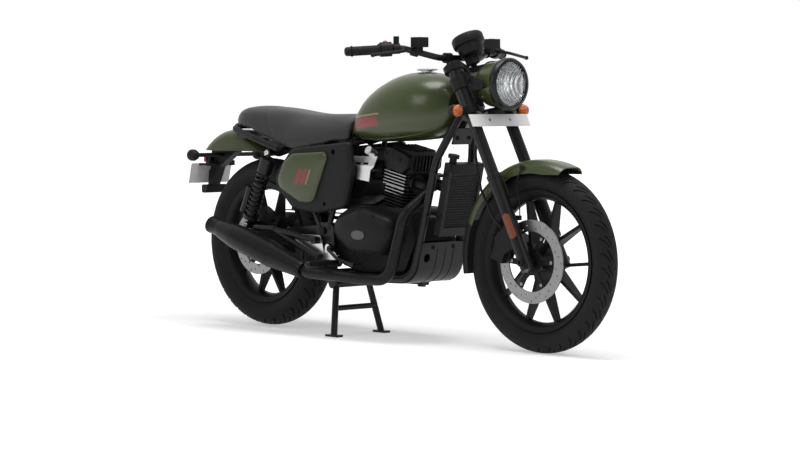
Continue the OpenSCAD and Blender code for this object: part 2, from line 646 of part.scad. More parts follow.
module rear_axle() color([0.3, 0.3, 0.31]) {
    difference() {
        union() {
            cross_rod(0, rear_axle_z, -arm_y[1] - 14, arm_y[1] + 14, rear_axle_d);
            both() cross_rod(0, rear_axle_z, -arm_y[1] - 12, -arm_y[1] - seat_gap, 30);
            both() cross_rod(0, rear_axle_z, -arm_y[0] + seat_gap, -rear_hub_end - seat_gap, 32);
        }
        cross_rod(0, rear_axle_z, -200, 200, axle_bore_d);
    }
    cross_rod(pivot.x, pivot.y, -pivot_plate_y[1] - 10, pivot_plate_y[1] + 10, pivot_bolt_d);
    both() cross_rod(pivot.x, pivot.y, -pivot_plate_y[1] - 8, -pivot_plate_y[1] - seat_gap, 27);
}

shock_dir = unit([shock_low.x - shock_top.x, 0, shock_low.y - shock_top.y]);
shock_l = norm([shock_low.x - shock_top.x, shock_low.y - shock_top.y]);
spring_span = [82, 256];
module shock_bodies() color([0.05, 0.05, 0.055]) both() {
    difference() {
        union() {
            cross_rod(shock_top.x, shock_top.y, -shock_y - 12, -shock_y + 12, 28);
            cross_rod(shock_low.x, shock_low.y, -shock_y - 12, -shock_y + 12, 28);
            shock_axis(10, shock_l - 10, 14);
            shock_axis(24, spring_span[0] - seat_gap, spring_d);
            shock_axis(120, spring_span[1] + 10, 34);
            shock_axis(spring_span[1] + seat_gap, spring_span[1] + 14, spring_d);
        }
        cross_rod(shock_top.x, shock_top.y, -shock_y - 20, -shock_y + 20, 12);
        cross_rod(shock_low.x, shock_low.y, -shock_y - 20, -shock_y + 20, 12);
    }
    shock_canister();
}

module shock_axis(a, b, d) {
    o = [shock_top.x, -shock_y, shock_top.y];
    rod(o + shock_dir * a, o + shock_dir * b, d);
}

// Gas canister behind the lower spring seat
module shock_canister() {
    o = [shock_top.x, -shock_y, shock_top.y];
    back = [shock_dir.z, 0, -shock_dir.x];
    rod(o + shock_dir * 160 + back * 44, o + shock_dir * 262 + back * 44, 30);
    rod(o + shock_dir * (spring_span[1] + 7), o + shock_dir * (spring_span[1] + 7) + back * 44, 12);
}

coil_sides = 6;
coil_steps = 10;
function coil_ring(i, r, pitch, wire) = let (a = 360 * i / coil_steps, tilt = atan2(pitch, 2 * PI * r))
    [for (k = [0:coil_sides - 1]) let (b = 360 * k / coil_sides, out = r + wire * cos(b), up = wire * sin(b))
        [out * cos(a) + up * sin(tilt) * sin(a), out * sin(a) - up * sin(tilt) * cos(a),
            pitch * i / coil_steps + up * cos(tilt)]];

module shock_springs() color([0.05, 0.05, 0.055]) both() {
    wire = spring_wire_d / 2;
    travel = spring_span[1] - spring_span[0] - 2 * wire * sin(60) - 0.6;
    n = spring_turns * coil_steps;
    o = [shock_top.x, -shock_y, shock_top.y];
    along(o + shock_dir * (spring_span[0] + wire * sin(60) + 0.3), o + shock_dir * spring_span[1])
        loft([for (i = [0:n]) coil_ring(i, spring_d / 2 - wire, travel / spring_turns, wire)]);
}

// Brake calipers straddle the edge of a disc: at an angle round the axle, on the right side
module caliper(x, z, disc_r, disc_y, at, l, out) translate([x, 0, z]) rotate([0, -at, 0]) difference() {
    translate([disc_r - 38, -disc_y - out, -l / 2]) cube([52, out + 26, l]);
    translate([disc_r - 60, -disc_y - disc_t / 2 - 2, -l]) cube([63, disc_t + 4, 2 * l]);
}

rear_disc_y = 70;
module rear_caliper() color([0.05, 0.05, 0.055]) {
    caliper(0, rear_axle_z, rear_disc_d / 2, rear_disc_y, 60, 74, 13.5);
    difference() {
        side_extrude(-arm_y[0] + seat_gap, -rear_disc_y - disc_t / 2 - 2) polygon(round_outline([[0, rear_axle_z, 26],
            [92, rear_axle_z + 62, 14], [50, rear_axle_z + 90, 14]]));
        cross_rod(0, rear_axle_z, -200, 0, 32 + 2 * seat_gap);
    }
}

// Final drive on the left
chain_y = 78;
chain_pitch = 15.875;
rear_teeth = 40;
front_teeth = 14;
rear_pitch_r = chain_pitch / sin(180 / rear_teeth) / 2;
front_pitch_r = chain_pitch / sin(180 / front_teeth) / 2;
drive_x = 512;
drive_z = 372;

module chain_outline(grow) hull() {
    translate([0, rear_axle_z]) circle(r = rear_pitch_r + grow, $fn = 96);
    translate([drive_x, drive_z]) circle(r = front_pitch_r + grow, $fn = 48);
}

module chain() color([0.2, 0.19, 0.18]) {
    for (y = [chain_y - 8, chain_y + 4]) side_extrude(y, y + 4) difference() {
        chain_outline(7);
        chain_outline(-6);
    }
    side_extrude(chain_y - 5, chain_y + 5) difference() {
        chain_outline(7);
        chain_outline(4.8);
    }
    cross_rod(drive_x, drive_z, chain_y - 3, chain_y + 3, 2 * (front_pitch_r + 4.2));
}

module chain_guard() color([0.06, 0.06, 0.065]) {
    side_extrude(chain_y - 14, arm_y[1] - 8) polygon(concat(arc([0, rear_axle_z], rear_pitch_r + 14, 150, 90, 10),
        [[350, 428], [350, 431]], arc([0, rear_axle_z], rear_pitch_r + 17, 90, 150, 10)));
    difference() {
        translate([190, arm_y[0] + 4, 370]) cube([30, 8, 61]);
        side_extrude(arm_y[0], arm_y[1]) polygon(round_outline(arm_outline(seat_gap)));
    }
}

// Footrests and pedals
hanger_y = pivot_plate_y[1] + seat_gap;
hanger_out = hanger_y + 9;
module footrests() color([0.06, 0.06, 0.065]) both() {
    difference() {
        union() {
            cross_rod(398, 344, -hanger_y - 38, -hanger_y, 26);
            cross_rod(412, 286, -hanger_y - 38, -hanger_y, 26);
            rod([398, -152, 344], [190, -160, 378], 18);
            rod([412, -152, 286], [190, -160, 378], 18);
            rod([198, -160, 378], [95, -164, 380], 22);
            side_extrude(-hanger_out, -hanger_out + 5) polygon(round_outline([[257, 346, 16], [412, 286, 18], [398, 344, 18]]));
        }
        cross_rod(257, 346, -160, -100, 8.6);
    }
    side_extrude(-hanger_y - 10, -hanger_y) polygon(round_outline([[440, 262, 12], [500, 268, 16], [446, 320, 12]]));
    rod([500, -hanger_y - 4, 268], [500, -272, 268], 22);
    for (y = [-262:12:-170]) cross_rod(500, 268, y, y + 6, 26);
    translate([500, -272, 268]) sphere(d = 24);
}

module foot_controls() color([0.07, 0.07, 0.075]) both() {
    cross_rod(470, 316, -hanger_y - 24, -hanger_y - 10 - seat_gap, 24);
    pipe([[470, -150, 316], [520, -152, 284], [560, -156, 276], [655, -200, 272]], 12, [0, 30, 30, 0], 12);
    translate([640, -214, 268]) cube([28, 40, 10]);
}

// Steering
module yokes() color([0.06, 0.06, 0.065]) {
    fork_frame() {
        difference() {
            union() {
                yoke(yoke_low);
                yoke(yoke_high);
                both() lamp_ear();
                both() translate([-4, -156, (yoke_low[0] + yoke_low[1]) / 2]) rotate([-90, 0, 0]) cylinder(h = 44, d = 14);
                both() translate([-fork_offset + 5, -59, yoke_high[1] - 2]) cylinder(h = bar_s - yoke_high[1] + 2, d = 21);
                both() translate([-fork_offset + 5, -72, bar_s]) rotate([-90, 0, 0]) cylinder(h = 26, d = 36);
                translate([28, -40, 490]) cube([4, 80, 58]);
                translate([-30, -40, yoke_low[0] + 1]) cube([62, 80, 5]);
            }
            both() translate([0, -leg_y, yoke_low[0] - 20]) cylinder(h = 60, d = fork_tube_d + 2 * seat_gap);
            both() translate([0, -leg_y, yoke_low[1] + 1]) cylinder(h = 300, d = shroud_d + 2 * seat_gap);
            translate([-fork_offset + 5, -100, bar_s]) rotate([-90, 0, 0]) cylinder(h = 200, d = bar_d + 2 * seat_gap);
        }
        translate([-fork_offset, 0, yoke_low[0] + 4]) cylinder(h = yoke_high[0] - yoke_low[0], d = stem_d);
    }
    both() translate([wheelbase, 0, front_axle_z]) rotate([0, -rake, 0]) translate([7, -164, 559]) rotate([0, rake, 0])
        rotate([0, -90, 0]) rotate_extrude() polygon([[0, -2], [21, -2], [21, 10], [17, 24], [9, 34], [0, 37]]);
}

module yoke(span) translate([0, 0, span[0]]) linear_extrude(span[1] - span[0]) for (side = [-1, 1])
    polygon(round_outline([[-fork_offset, 0, 30], [-4, side * leg_y, shroud_d / 2 + 8]], 12));

ear_y = [88, 94];
module lamp_ear() difference() {
    union() {
        translate([0, -leg_y, 640]) cylinder(h = 44, d = shroud_d + 10);
        translate([0, -ear_y[1], 0]) rotate([90, 0, 0]) mirror([0, 0, 1]) linear_extrude(ear_y[1] - ear_y[0])
            polygon(round_outline([[20, 640, 12], [85, 614, 13], [86, 622, 13], [20, 690, 12]]));
    }
    translate([50, -leg_y - 40, 645]) rotate([-90, 0, 0]) cylinder(h = 80, d = 24);
}

module fork_legs() color([0.045, 0.045, 0.05]) fork_frame() both() difference() {
    union() {
        translate([0, -leg_y, -30]) cylinder(h = slider_top + 30, d = slider_d);
        translate([0, -leg_y, slider_top - 2]) cylinder(h = yoke_low[1] - slider_top + 4, d = fork_tube_d);
        translate([0, -leg_y, yoke_low[1] + seat_gap]) cylinder(h = yoke_high[1] - yoke_low[1] + 6, d = shroud_d);
        translate([0, -leg_y, slider_top - 4]) cylinder(h = 14, d = slider_d + 3);
        translate([0, -leg_y, yoke_high[1] + 6]) cylinder(h = 6, d = 30);
    }
    translate([0, -200, 0]) rotate([-90, 0, 0]) cylinder(h = 300, d = front_axle_d + 2 * seat_gap);
    translate([-60, -leg_y - 40, -40]) rotate([0, 32, 0]) cube([80, 80, 30], center = false);
}

lamp_x = 1210;
lamp_z = 900;
module lamp_frame() translate([lamp_x, 0, lamp_z]) rotate([0, 90, 0]) children();

module headlamp_shell() color([0.19, 0.25, 0.11]) {
    r = lamp_d / 2;
    lamp_frame() rotate_extrude($fn = 72) polygon([[0, -124], [24, -122], [46, -114], [64, -98], [76, -74],
        [r - 9, -46], [r - 6, -20], [r - 6, -14], [r - 9, -14], [r - 9, -20], [r - 12, -46], [72, -72], [60, -94],
        [44, -109], [24, -117], [0, -119]]);
    both() cross_rod(lamp_x - 46, lamp_z, -ear_y[0] + seat_gap, -r + 13, 22);
}

module headlamp_rim() color([0.05, 0.05, 0.055]) {
    r = lamp_d / 2;
    lamp_frame() rotate_extrude($fn = 72) polygon([[r - 12, -14 + seat_gap], [r - 3, -14 + seat_gap], [r, -8], [r, 4],
        [r - 4, 12], [r - 12, 15], [r - 15, 12], [r - 15, 6], [r - 12, 2]]);
}

module headlamp_glass() color([0.8, 0.85, 0.9, 0.4]) {
    r = lamp_d / 2 - 15 - seat_gap;
    lamp_frame() rotate_extrude($fn = 72) polygon([[0, 20], [r * 0.4, 18.6], [r * 0.75, 14], [r, 8], [r, 4],
        [r * 0.75, 10.5], [r * 0.4, 15], [0, 16.4]]);
}

module headlamp_reflector() color([0.85, 0.85, 0.86]) {
    r = lamp_d / 2 - 12 - seat_gap;
    lamp_frame() {
        rotate_extrude($fn = 72) polygon([[8, -62], [30, -56], [52, -40], [66, -18], [r, 1], [r, 2 - seat_gap],
            [r - 6, 2 - seat_gap], [62, -18], [48, -38], [28, -52], [8, -58]]);
        translate([0, 0, -62]) cylinder(h = 36, d = 16);
        translate([0, 0, -30]) sphere(d = 18);
    }
}

module instrument() color([0.05, 0.05, 0.055]) fork_frame() {
    r = dial_d / 2;
    translate([22, 0, 0]) rotate_extrude($fn = 64) polygon([[0, bar_s - 24], [r * 0.55, bar_s - 24], [r * 0.7, bar_s - 18],
        [r * 0.8, bar_s - 2], [r * 0.83, bar_s + 13], [r * 0.96, bar_s + 17], [r, bar_s + 22], [r, bar_s + 44], [r - 3, bar_s + 49],
        [r - 7, bar_s + 50], [r - 9, bar_s + 45], [0, bar_s + 45]]);
    translate([-8, -16, yoke_high[1] + seat_gap]) cube([36, 32, bar_s - 20 - yoke_high[1]]);
}

bar_half = [[-fork_offset + 5, 0, bar_s], [-fork_offset + 5, -100, bar_s], [-78, -216, bar_s + 55],
    [-175, -bar_span / 2, bar_s + 90]];
grip_dir = unit(bar_half[3] - bar_half[2]);
function grip_point(d) = bar_half[3] - grip_dir * d;

function left_of(p) = [p.x, -p.y, p.z];
function bar_run(d) = [grip_point(d), bar_half[2], bar_half[1], left_of(bar_half[1]), left_of(bar_half[2]), left_of(grip_point(d))];
bar_bends = [0, 60, 60, 60, 60, 0];

module handlebar() color([0.05, 0.05, 0.055]) fork_frame() pipe(bar_run(4), bar_d, bar_bends);

module grips() color([0.04, 0.04, 0.045]) fork_frame() both() difference() {
    union() {
        along(grip_point(0), grip_point(10)) rotate_extrude() polygon([[0, 0], [10, 0], [15, 4], [16, 20], [13, 22], [0, 22]]);
        along(grip_point(22), grip_point(30)) cylinder(h = grip_l - 22, d = 32);
        along(grip_point(22), grip_point(30)) cylinder(h = 4, d = 37);
        along(grip_point(grip_l - 6), grip_point(grip_l)) cylinder(h = 6, d = 40);
    }
    along(grip_point(4 - seat_gap), grip_point(10)) cylinder(h = 300, d = bar_d + 2 * seat_gap);
}

module hand_controls() color([0.05, 0.05, 0.055]) fork_frame() both() difference() {
    union() {
        along(grip_point(grip_l + 1), grip_point(grip_l + 10)) {
            cylinder(h = 38, d = 50);
            translate([0, 0, 44]) cylinder(h = 24, d = 36);
        }
        lever();
        reservoir();
    }
    pipe(bar_run(-20), bar_d + 2 * seat_gap, bar_bends);
    along(grip_point(grip_l + 1), grip_point(grip_l + 10)) translate([0, 0, 38.6]) cylinder(h = 5, d = 60);
    perch_top(20 + 2 * seat_gap) cylinder(h = 60, d = 20 + 2 * seat_gap);
}

function perch_point() = grip_point(grip_l + 57);
module perch_top(d) translate(perch_point()) rotate([0, rake, 0]) translate([0, 0, 14]) children();

module lever() {
    a = grip_point(grip_l + 56) + [30, 0, -18];
    b = grip_point(grip_l + 30) + [66, 0, -42];
    c = grip_point(12) + [100, 0, -66];
    pipe([grip_point(grip_l + 56) + [8, 0, -6], a, b, c], 11, [0, 8, 24, 0], 10);
    translate(c) sphere(d = 15);
    translate(a) sphere(d = 24);
}

// Fluid box on the inner leg of the bar, level with the floor
reserve_y = 178;
function reserve_point() = let (k = (reserve_y + bar_half[1].y) / (bar_half[1].y - bar_half[2].y))
    bar_half[1] + (bar_half[2] - bar_half[1]) * k;
module reservoir() {
    along(reserve_point(), bar_half[2]) translate([0, 0, -12]) cylinder(h = 24, d = 34);
    translate(reserve_point()) rotate([0, rake, 0]) {
        translate([2, -22, 14]) cube([42, 44, 34]);
        translate([6, -12, -6]) cube([22, 24, 24]);
    }
}
mirror_d = 10;

// Threaded seats for mirror stems on the lever perches
module mirror_seats() color([0.05, 0.05, 0.055]) fork_frame() both() perch_top(20) difference() {
    cylinder(h = 28, d = 20);
    translate([0, 0, 12]) cylinder(h = 20, d = mirror_d);
}

module front_lamps() color([0.9, 0.35, 0.05]) both() translate(fork_point([7, -164, 559]) + [2 + seat_gap, 0, 0])
    rotate([0, 90, 0]) rotate_extrude() polygon([[0, 0], [20, 0], [20, 6], [16, 14], [9, 19], [0, 21]]);

module front_plate() color([0.92, 0.92, 0.92]) fork_frame() translate([32 + seat_gap, -142.5, 486]) cube([2, 285, 45]);

front_fender_r = front_tyre_d / 2 + 30;
fender_span = [68, 158];
flap_end = 190;
module front_fender() color([0.19, 0.25, 0.11]) {
    difference() {
        fender_arc(fender_span[0], fender_span[1]);
        translate([wheelbase, 0, front_axle_z]) side_extrude(-100, 100) polygon([for (p = [[318, 66], [290, 86], [270, 86],
            [270, 62]]) p[0] * [cos(p[1]), sin(p[1])]]);
    }
    difference() {
        both() fork_frame() translate([-12, -leg_y, 244]) cube([24, leg_y - front_fender_w / 2 + 1, 61]);
        both() fork_frame() translate([0, -leg_y, 0]) cylinder(h = 400, d = slider_d + 2 * seat_gap);
        both() fork_frame() translate([-40, -leg_y - 40, 0]) cube([80, 40, 400]);
    }
}

module fender_arc(from, to) translate([wheelbase, 0, front_axle_z]) rotate([90, 0, 0]) rotate([0, 0, from])
    rotate_extrude(angle = to - from, $fn = 96) translate([front_fender_r, 0]) fender_profile(front_fender_w, fender_t, 46);

// Brake hose from a union under the lower yoke to the caliper
hose_foot = [-60, -71, 141];
module brake_hose() color([0.03, 0.03, 0.03]) fork_frame() {
    pipe([[-24, -58, 540], [-24, -58, 500], [-66, -64, 430], [-88, -74, 310], [-84, -72, 210], hose_foot],
        9, [0, 40, 60, 80, 50, 0], 8);
    translate([-34, -68, 530]) cube([20, 20, yoke_low[0] - seat_gap - 530]);
}

// Lead of the wheel sensor, from a grommet in the mudguard to its clip on the slider
module sensor_lead() color([0.03, 0.03, 0.03]) {
    pipe([[1330, -66, 622], [1311, -67, 584], [1310, -67, 552], [1322, -67, 498], [1323, -67, 452]], 4.5, [0, 24, 60, 40, 0], 6);
    cross_rod(1330, 622, -70, -front_fender_w / 2 - seat_gap, 16);
    difference() {
        translate([1296, -73, 446]) cube([32, 10, 16]);
        fork_frame() translate([0, -leg_y, 0]) cylinder(h = 300, d = slider_d + 2 * seat_gap);
    }
}

module mud_flap() color([0.05, 0.05, 0.055]) fender_arc(fender_span[1] + 0.06, flap_end);

front_hub_end = 54;
axle_bore_d = 10;
module front_axle() color([0.3, 0.3, 0.31]) difference() {
    union() {
        cross_rod(wheelbase, front_axle_z, -leg_y - slider_d / 2 - 6, leg_y + slider_d / 2 + 6, front_axle_d);
        both() cross_rod(wheelbase, front_axle_z, -leg_y + slider_d / 2 + seat_gap, -front_hub_end - 2 * seat_gap, 28);
        both() cross_rod(wheelbase, front_axle_z, -leg_y - slider_d / 2 - 5, -leg_y - slider_d / 2 - seat_gap, 26);
    }
    cross_rod(wheelbase, front_axle_z, -200, 200, axle_bore_d);
}

front_disc_y = 58;
module front_caliper() color([0.05, 0.05, 0.055]) {
    caliper(wheelbase, front_axle_z, front_disc_d / 2, front_disc_y, 160, 96, 28);
    difference() {
        side_extrude(-leg_y + 4, -leg_y + 14) polygon(round_outline([[wheelbase - 40, 380, 12], [wheelbase - 60, 440, 12],
            [wheelbase - 130, 380, 14], [wheelbase - 130, 330, 14]]));
        fork_frame() translate([0, -leg_y, -40]) cylinder(h = 400, d = slider_d + 2 * seat_gap);
    }
}

// Wheels
front_rim_w = 58;
rear_rim_w = 80;
// Tread and sidewalls as one hollow section
module tyre_section(tyre_d, rim_d, w, rim_w) {
    crown = tyre_d / 2;
    bead = rim_d / 2 + seat_gap;
    wide = bead + (crown - bead) * 0.5;
    wall = 9;
    outer = [for (i = [-10:10]) let (a = i * 11.2) [wide + (crown - wide) * cos(a) * (abs(a) > 90 ? 0.9 : 1), w / 2 * sin(a)]];
    inner = [for (i = [10:-1:-10]) let (a = i * 11.2)
        [wide + (crown - wide - wall) * cos(a) * (abs(a) > 90 ? 0.9 : 1), (w / 2 - wall) * sin(a)]];
    seat_w = rim_w / 2 - 3 - seat_gap;
    polygon(concat([[bead, -seat_w], [bead + 11, -seat_w - 2]], outer, [[bead + 11, seat_w + 2], [bead, seat_w],
        [bead, seat_w - wall]], inner, [[bead, -seat_w + wall]]));
}

module cast_wheel(rim_d, rim_w, hub_d, hub_l, bore, x, z) difference() {
    union() {
        wheel_revolve(x, z) rim_section(rim_d, rim_w);
        wheel_revolve(x, z) translate([bore / 2, -hub_l]) square([(hub_d - bore) / 2, 2 * hub_l]);
        intersection() {
            translate([x, 0, z]) side_extrude(-40, 40) spoke_star(rim_d, hub_d);
            wheel_revolve(x, z) polygon([[0, -36], [hub_d / 2, -34], [rim_d / 2 - 16, -11], [rim_d / 2 - 16, 11],
                [hub_d / 2, 34], [0, 36]]);
        }
    }
    cross_rod(x, z, -200, 200, bore);
}

module rim_section(d, w) polygon([[d / 2 - 22, -8], [d / 2 - 12, -w / 2 + 6], [d / 2 - 6, -w / 2], [d / 2 + 10, -w / 2 - 4],
    [d / 2 + 10, -w / 2 - 1], [d / 2, -w / 2 + 3], [d / 2 - 3, -w / 2 + 12], [d / 2 - 14, -6], [d / 2 - 14, 6],
    [d / 2 - 3, w / 2 - 12], [d / 2, w / 2 - 3], [d / 2 + 10, w / 2 + 1], [d / 2 + 10, w / 2 + 4], [d / 2 - 6, w / 2],
    [d / 2 - 12, w / 2 - 6], [d / 2 - 22, 8]]);

module spoke_star(rim_d, hub_d) for (i = [0:spokes - 1]) rotate(-18 + 360 * i / spokes) {
    fork_r = hub_d / 2 + 34;
    reach = rim_d / 2 - 12;
    polygon([[hub_d / 2 - 8, -15], [fork_r + 4, -11], [fork_r + 4, 11], [hub_d / 2 - 8, 15]]);
    for (s = [-1, 1]) polygon([[fork_r - 6, s * 1], [reach * cos(16.6), s * reach * sin(16.6)],
        [reach * cos(19.8), s * reach * sin(19.8)], [fork_r - 10, s * 11.5]]);
}

module front_wheel() color([0.05, 0.05, 0.055])
    cast_wheel(front_rim_d, front_rim_w, 76, front_hub_end, front_axle_d + 2 * run_gap, wheelbase, front_axle_z);

module front_tyre() color([0.03, 0.03, 0.03]) wheel_revolve(wheelbase, front_axle_z)
    tyre_section(front_tyre_d, front_rim_d, front_tyre_w, front_rim_w);

rear_hub_end = 66;
module rear_wheel() color([0.05, 0.05, 0.055])
    cast_wheel(rear_rim_d, rear_rim_w, 92, rear_hub_end, rear_axle_d + 2 * run_gap, 0, rear_axle_z);

module rear_tyre() color([0.03, 0.03, 0.03]) wheel_revolve(0, rear_axle_z)
    tyre_section(rear_tyre_d, rear_rim_d, rear_tyre_w, rear_rim_w);

// Drilled disc on a forked carrier, centred at a station right of the middle
module disc(x, z, d, y, hub_end, bore, holes) translate([x, 0, z]) {
    translate([0, -y - disc_t / 2 + disc_t, 0]) rotate([90, 0, 0]) linear_extrude(disc_t) difference() {
        circle(d = d, $fn = 96);
        circle(d = d - 78, $fn = 96);
        for (i = [0:holes - 1]) rotate(360 * i / holes) translate([d / 2 - 9 - 10 * (i % 3), 0]) circle(d = 6, $fn = 16);
    }
    translate([0, -y - disc_t / 2 + disc_t, 0]) rotate([90, 0, 0]) linear_extrude(disc_t) difference() {
        union() {
            circle(d = 92);
            for (i = [0:5]) rotate(60 * i) translate([0, -9]) square([d / 2 - 36, 18]);
        }
        circle(d = bore);
    }
    translate([0, -y + disc_t / 2, 0]) rotate([-90, 0, 0]) difference() {
        cylinder(h = y - disc_t / 2 - hub_end - seat_gap, d = 70);
        translate([0, 0, -1]) cylinder(h = 40, d = bore);
    }
}

module front_disc() color([0.55, 0.55, 0.56])
    disc(wheelbase, front_axle_z, front_disc_d, front_disc_y, front_hub_end, 32, 36);

module rear_disc() color([0.55, 0.55, 0.56]) disc(0, rear_axle_z, rear_disc_d, rear_disc_y, rear_hub_end, 36, 30);

module sprocket() color([0.4, 0.4, 0.41]) translate([0, chain_y + 3, rear_axle_z]) rotate([90, 0, 0]) {
    linear_extrude(6) difference() {
        union() {
            circle(r = rear_pitch_r - 5, $fn = 96);
            for (i = [0:rear_teeth - 1]) rotate(360 * i / rear_teeth)
                polygon([[rear_pitch_r - 8, -4], [rear_pitch_r + 3.4, -1.2], [rear_pitch_r + 3.4, 1.2], [rear_pitch_r - 8, 4]]);
        }
        circle(d = 36);
        for (i = [0:4]) rotate(72 * i) translate([70, 0]) circle(d = 34);
    }
    translate([0, 0, 6]) difference() {
        cylinder(h = chain_y - 3 - rear_hub_end - seat_gap, d = 80);
        translate([0, 0, -1]) cylinder(h = 20, d = 36);
    }
}

// Stands
stand_foot = [470, 118];
module centre_stand() color([0.06, 0.06, 0.065]) {
    difference() {
        union() {
            cross_rod(stand_pivot.x, stand_pivot.y, -90, 90, 28);
            both() pipe([[stand_pivot.x, -80, stand_pivot.y], [stand_foot.x - 2, -stand_foot.y, 2]], 24, [0, 0]);
            cross_rod(stand_pivot.x + 14, 100, -98, 98, 20);
        }
        translate([stand_foot.x - 60, -200, -40]) cube([120, 400, 46]);
    }
    both() translate([stand_foot.x - 34, -stand_foot.y - 14, 0]) cube([64, 28, 8]);
    both() cross_rod(stand_pivot.x, stand_pivot.y, -96 + seat_gap, -88, 20);
}

module side_stand_axis() rotate([115.8, 0, 0]) children();
module side_stand() color([0.06, 0.06, 0.065]) {
    translate(side_pivot) side_stand_axis() {
        translate([0, 0, -29]) cylinder(h = 44, d = 12);
        translate([0, 0, -29]) cylinder(h = 13, d = 24);
    }
    rod(side_pivot + [-4, 26, -2], side_pivot + [-196, 26, -2], 16);
    translate(side_pivot + [-206, 14, -8]) cube([30, 28, 6]);
}

module place() translate([-x_mid, 0, 0]) children();

place() frame();
place() fuel_tank();
place() fuel_cap();
place() seat();
place() grab_rail();
place() rear_fender();
place() rear_lamps();
place() plate_bracket();
place() number_plate();
place() side_covers();
place() tube_plate();
place() side_panels();
place() crankcase();
place() cylinder_barrel();  // cylinder
place() cylinder_head();
place() head_cover();
place() intake();
place() key_switch();
place() exhaust_pipes();
place() mufflers();
place() radiator();
place() skid_plate();
place() swingarm();
place() rear_axle();
place() shock_bodies();
place() shock_springs();
place() rear_caliper();
place() chain();
place() chain_guard();
place() footrests();
place() foot_controls();
place() yokes();
place() fork_legs();
place() headlamp_shell();
place() headlamp_rim();
place() headlamp_glass();
place() headlamp_reflector();
place() instrument();
place() handlebar();
place() grips();
place() hand_controls();
place() front_lamps();
place() front_plate();
place() front_fender();
place() mud_flap();
place() brake_hose();
place() sensor_lead();
place() mirror_seats();
place() front_axle();
place() front_caliper();
place() front_wheel();
place() front_tyre();
place() front_disc();
place() rear_wheel();
place() rear_tyre();
place() rear_disc();
place() sprocket();
place() centre_stand();
place() side_stand();
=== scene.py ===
import bpy
import json
import math
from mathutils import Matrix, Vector


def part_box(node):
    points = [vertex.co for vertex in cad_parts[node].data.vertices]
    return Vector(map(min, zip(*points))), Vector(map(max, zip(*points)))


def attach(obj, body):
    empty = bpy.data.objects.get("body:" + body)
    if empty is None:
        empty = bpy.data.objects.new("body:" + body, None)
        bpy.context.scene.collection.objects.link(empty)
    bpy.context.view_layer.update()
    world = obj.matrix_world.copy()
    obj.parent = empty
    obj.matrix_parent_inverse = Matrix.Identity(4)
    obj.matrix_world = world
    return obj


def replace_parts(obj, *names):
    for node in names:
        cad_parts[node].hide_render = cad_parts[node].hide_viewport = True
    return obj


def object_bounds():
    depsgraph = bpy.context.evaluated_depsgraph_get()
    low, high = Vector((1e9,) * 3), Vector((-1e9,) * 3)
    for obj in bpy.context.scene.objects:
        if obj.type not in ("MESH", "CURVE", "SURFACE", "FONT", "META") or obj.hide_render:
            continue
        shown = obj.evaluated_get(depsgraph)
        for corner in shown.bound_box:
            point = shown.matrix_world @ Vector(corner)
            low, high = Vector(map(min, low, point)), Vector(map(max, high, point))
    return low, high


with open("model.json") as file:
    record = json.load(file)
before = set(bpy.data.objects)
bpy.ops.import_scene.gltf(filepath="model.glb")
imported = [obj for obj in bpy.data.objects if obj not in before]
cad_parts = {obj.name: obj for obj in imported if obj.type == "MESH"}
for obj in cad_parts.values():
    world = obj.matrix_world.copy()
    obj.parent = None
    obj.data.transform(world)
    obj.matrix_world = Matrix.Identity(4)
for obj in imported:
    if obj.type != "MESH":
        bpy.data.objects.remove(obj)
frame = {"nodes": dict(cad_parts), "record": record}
cad_box = [list(corner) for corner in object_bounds()]
nodes = frame["nodes"]
scene = bpy.context.scene
scene.view_settings.view_transform = "Standard"

# Stations run forward from the rear axle in millimetres, as in the part's source
MID = 655.75
WHEELBASE, FRONT_Z, REAR_Z, RAKE = 1369.0, 309.5, 318.0, math.radians(27)
SIDES = ((-1, "right"), (1, "left"))


def at(x, y, z):
    return Vector(((x - MID) / 1000, y / 1000, z / 1000))


def on_fork(x, y, s):
    """A point of the turning front end: x ahead of the fork legs, s up along them from the front axle."""
    c, k = math.cos(RAKE), math.sin(RAKE)
    return at(WHEELBASE + x * c - s * k, y, FRONT_Z + x * k + s * c)


def around(count):
    """Cosine and sine of equal steps round a circle."""
    return [(math.cos(math.tau * j / count), math.sin(math.tau * j / count)) for j in range(count)]


# Camera
def aim(thing, place, target):
    thing.location = place
    thing.rotation_euler = (Vector(target) - Vector(place)).to_track_quat("-Z", "Y").to_euler()


lens = bpy.data.cameras.new("photo_view")
lens.lens, lens.sensor_width, lens.sensor_fit = 108, 36, "HORIZONTAL"
lens.clip_end = 200
viewer = bpy.data.objects.new("photo_view", lens)
scene.collection.objects.link(viewer)
turn, lift, view_distance = math.radians(45.5), math.radians(2.97), 8.5
middle = Vector((0.02925, 0, 0.4042))
towards = Vector((math.sin(turn) * math.cos(lift), -math.cos(turn) * math.cos(lift), math.sin(lift)))
aim(viewer, middle + view_distance * towards, middle)
scene.camera = viewer


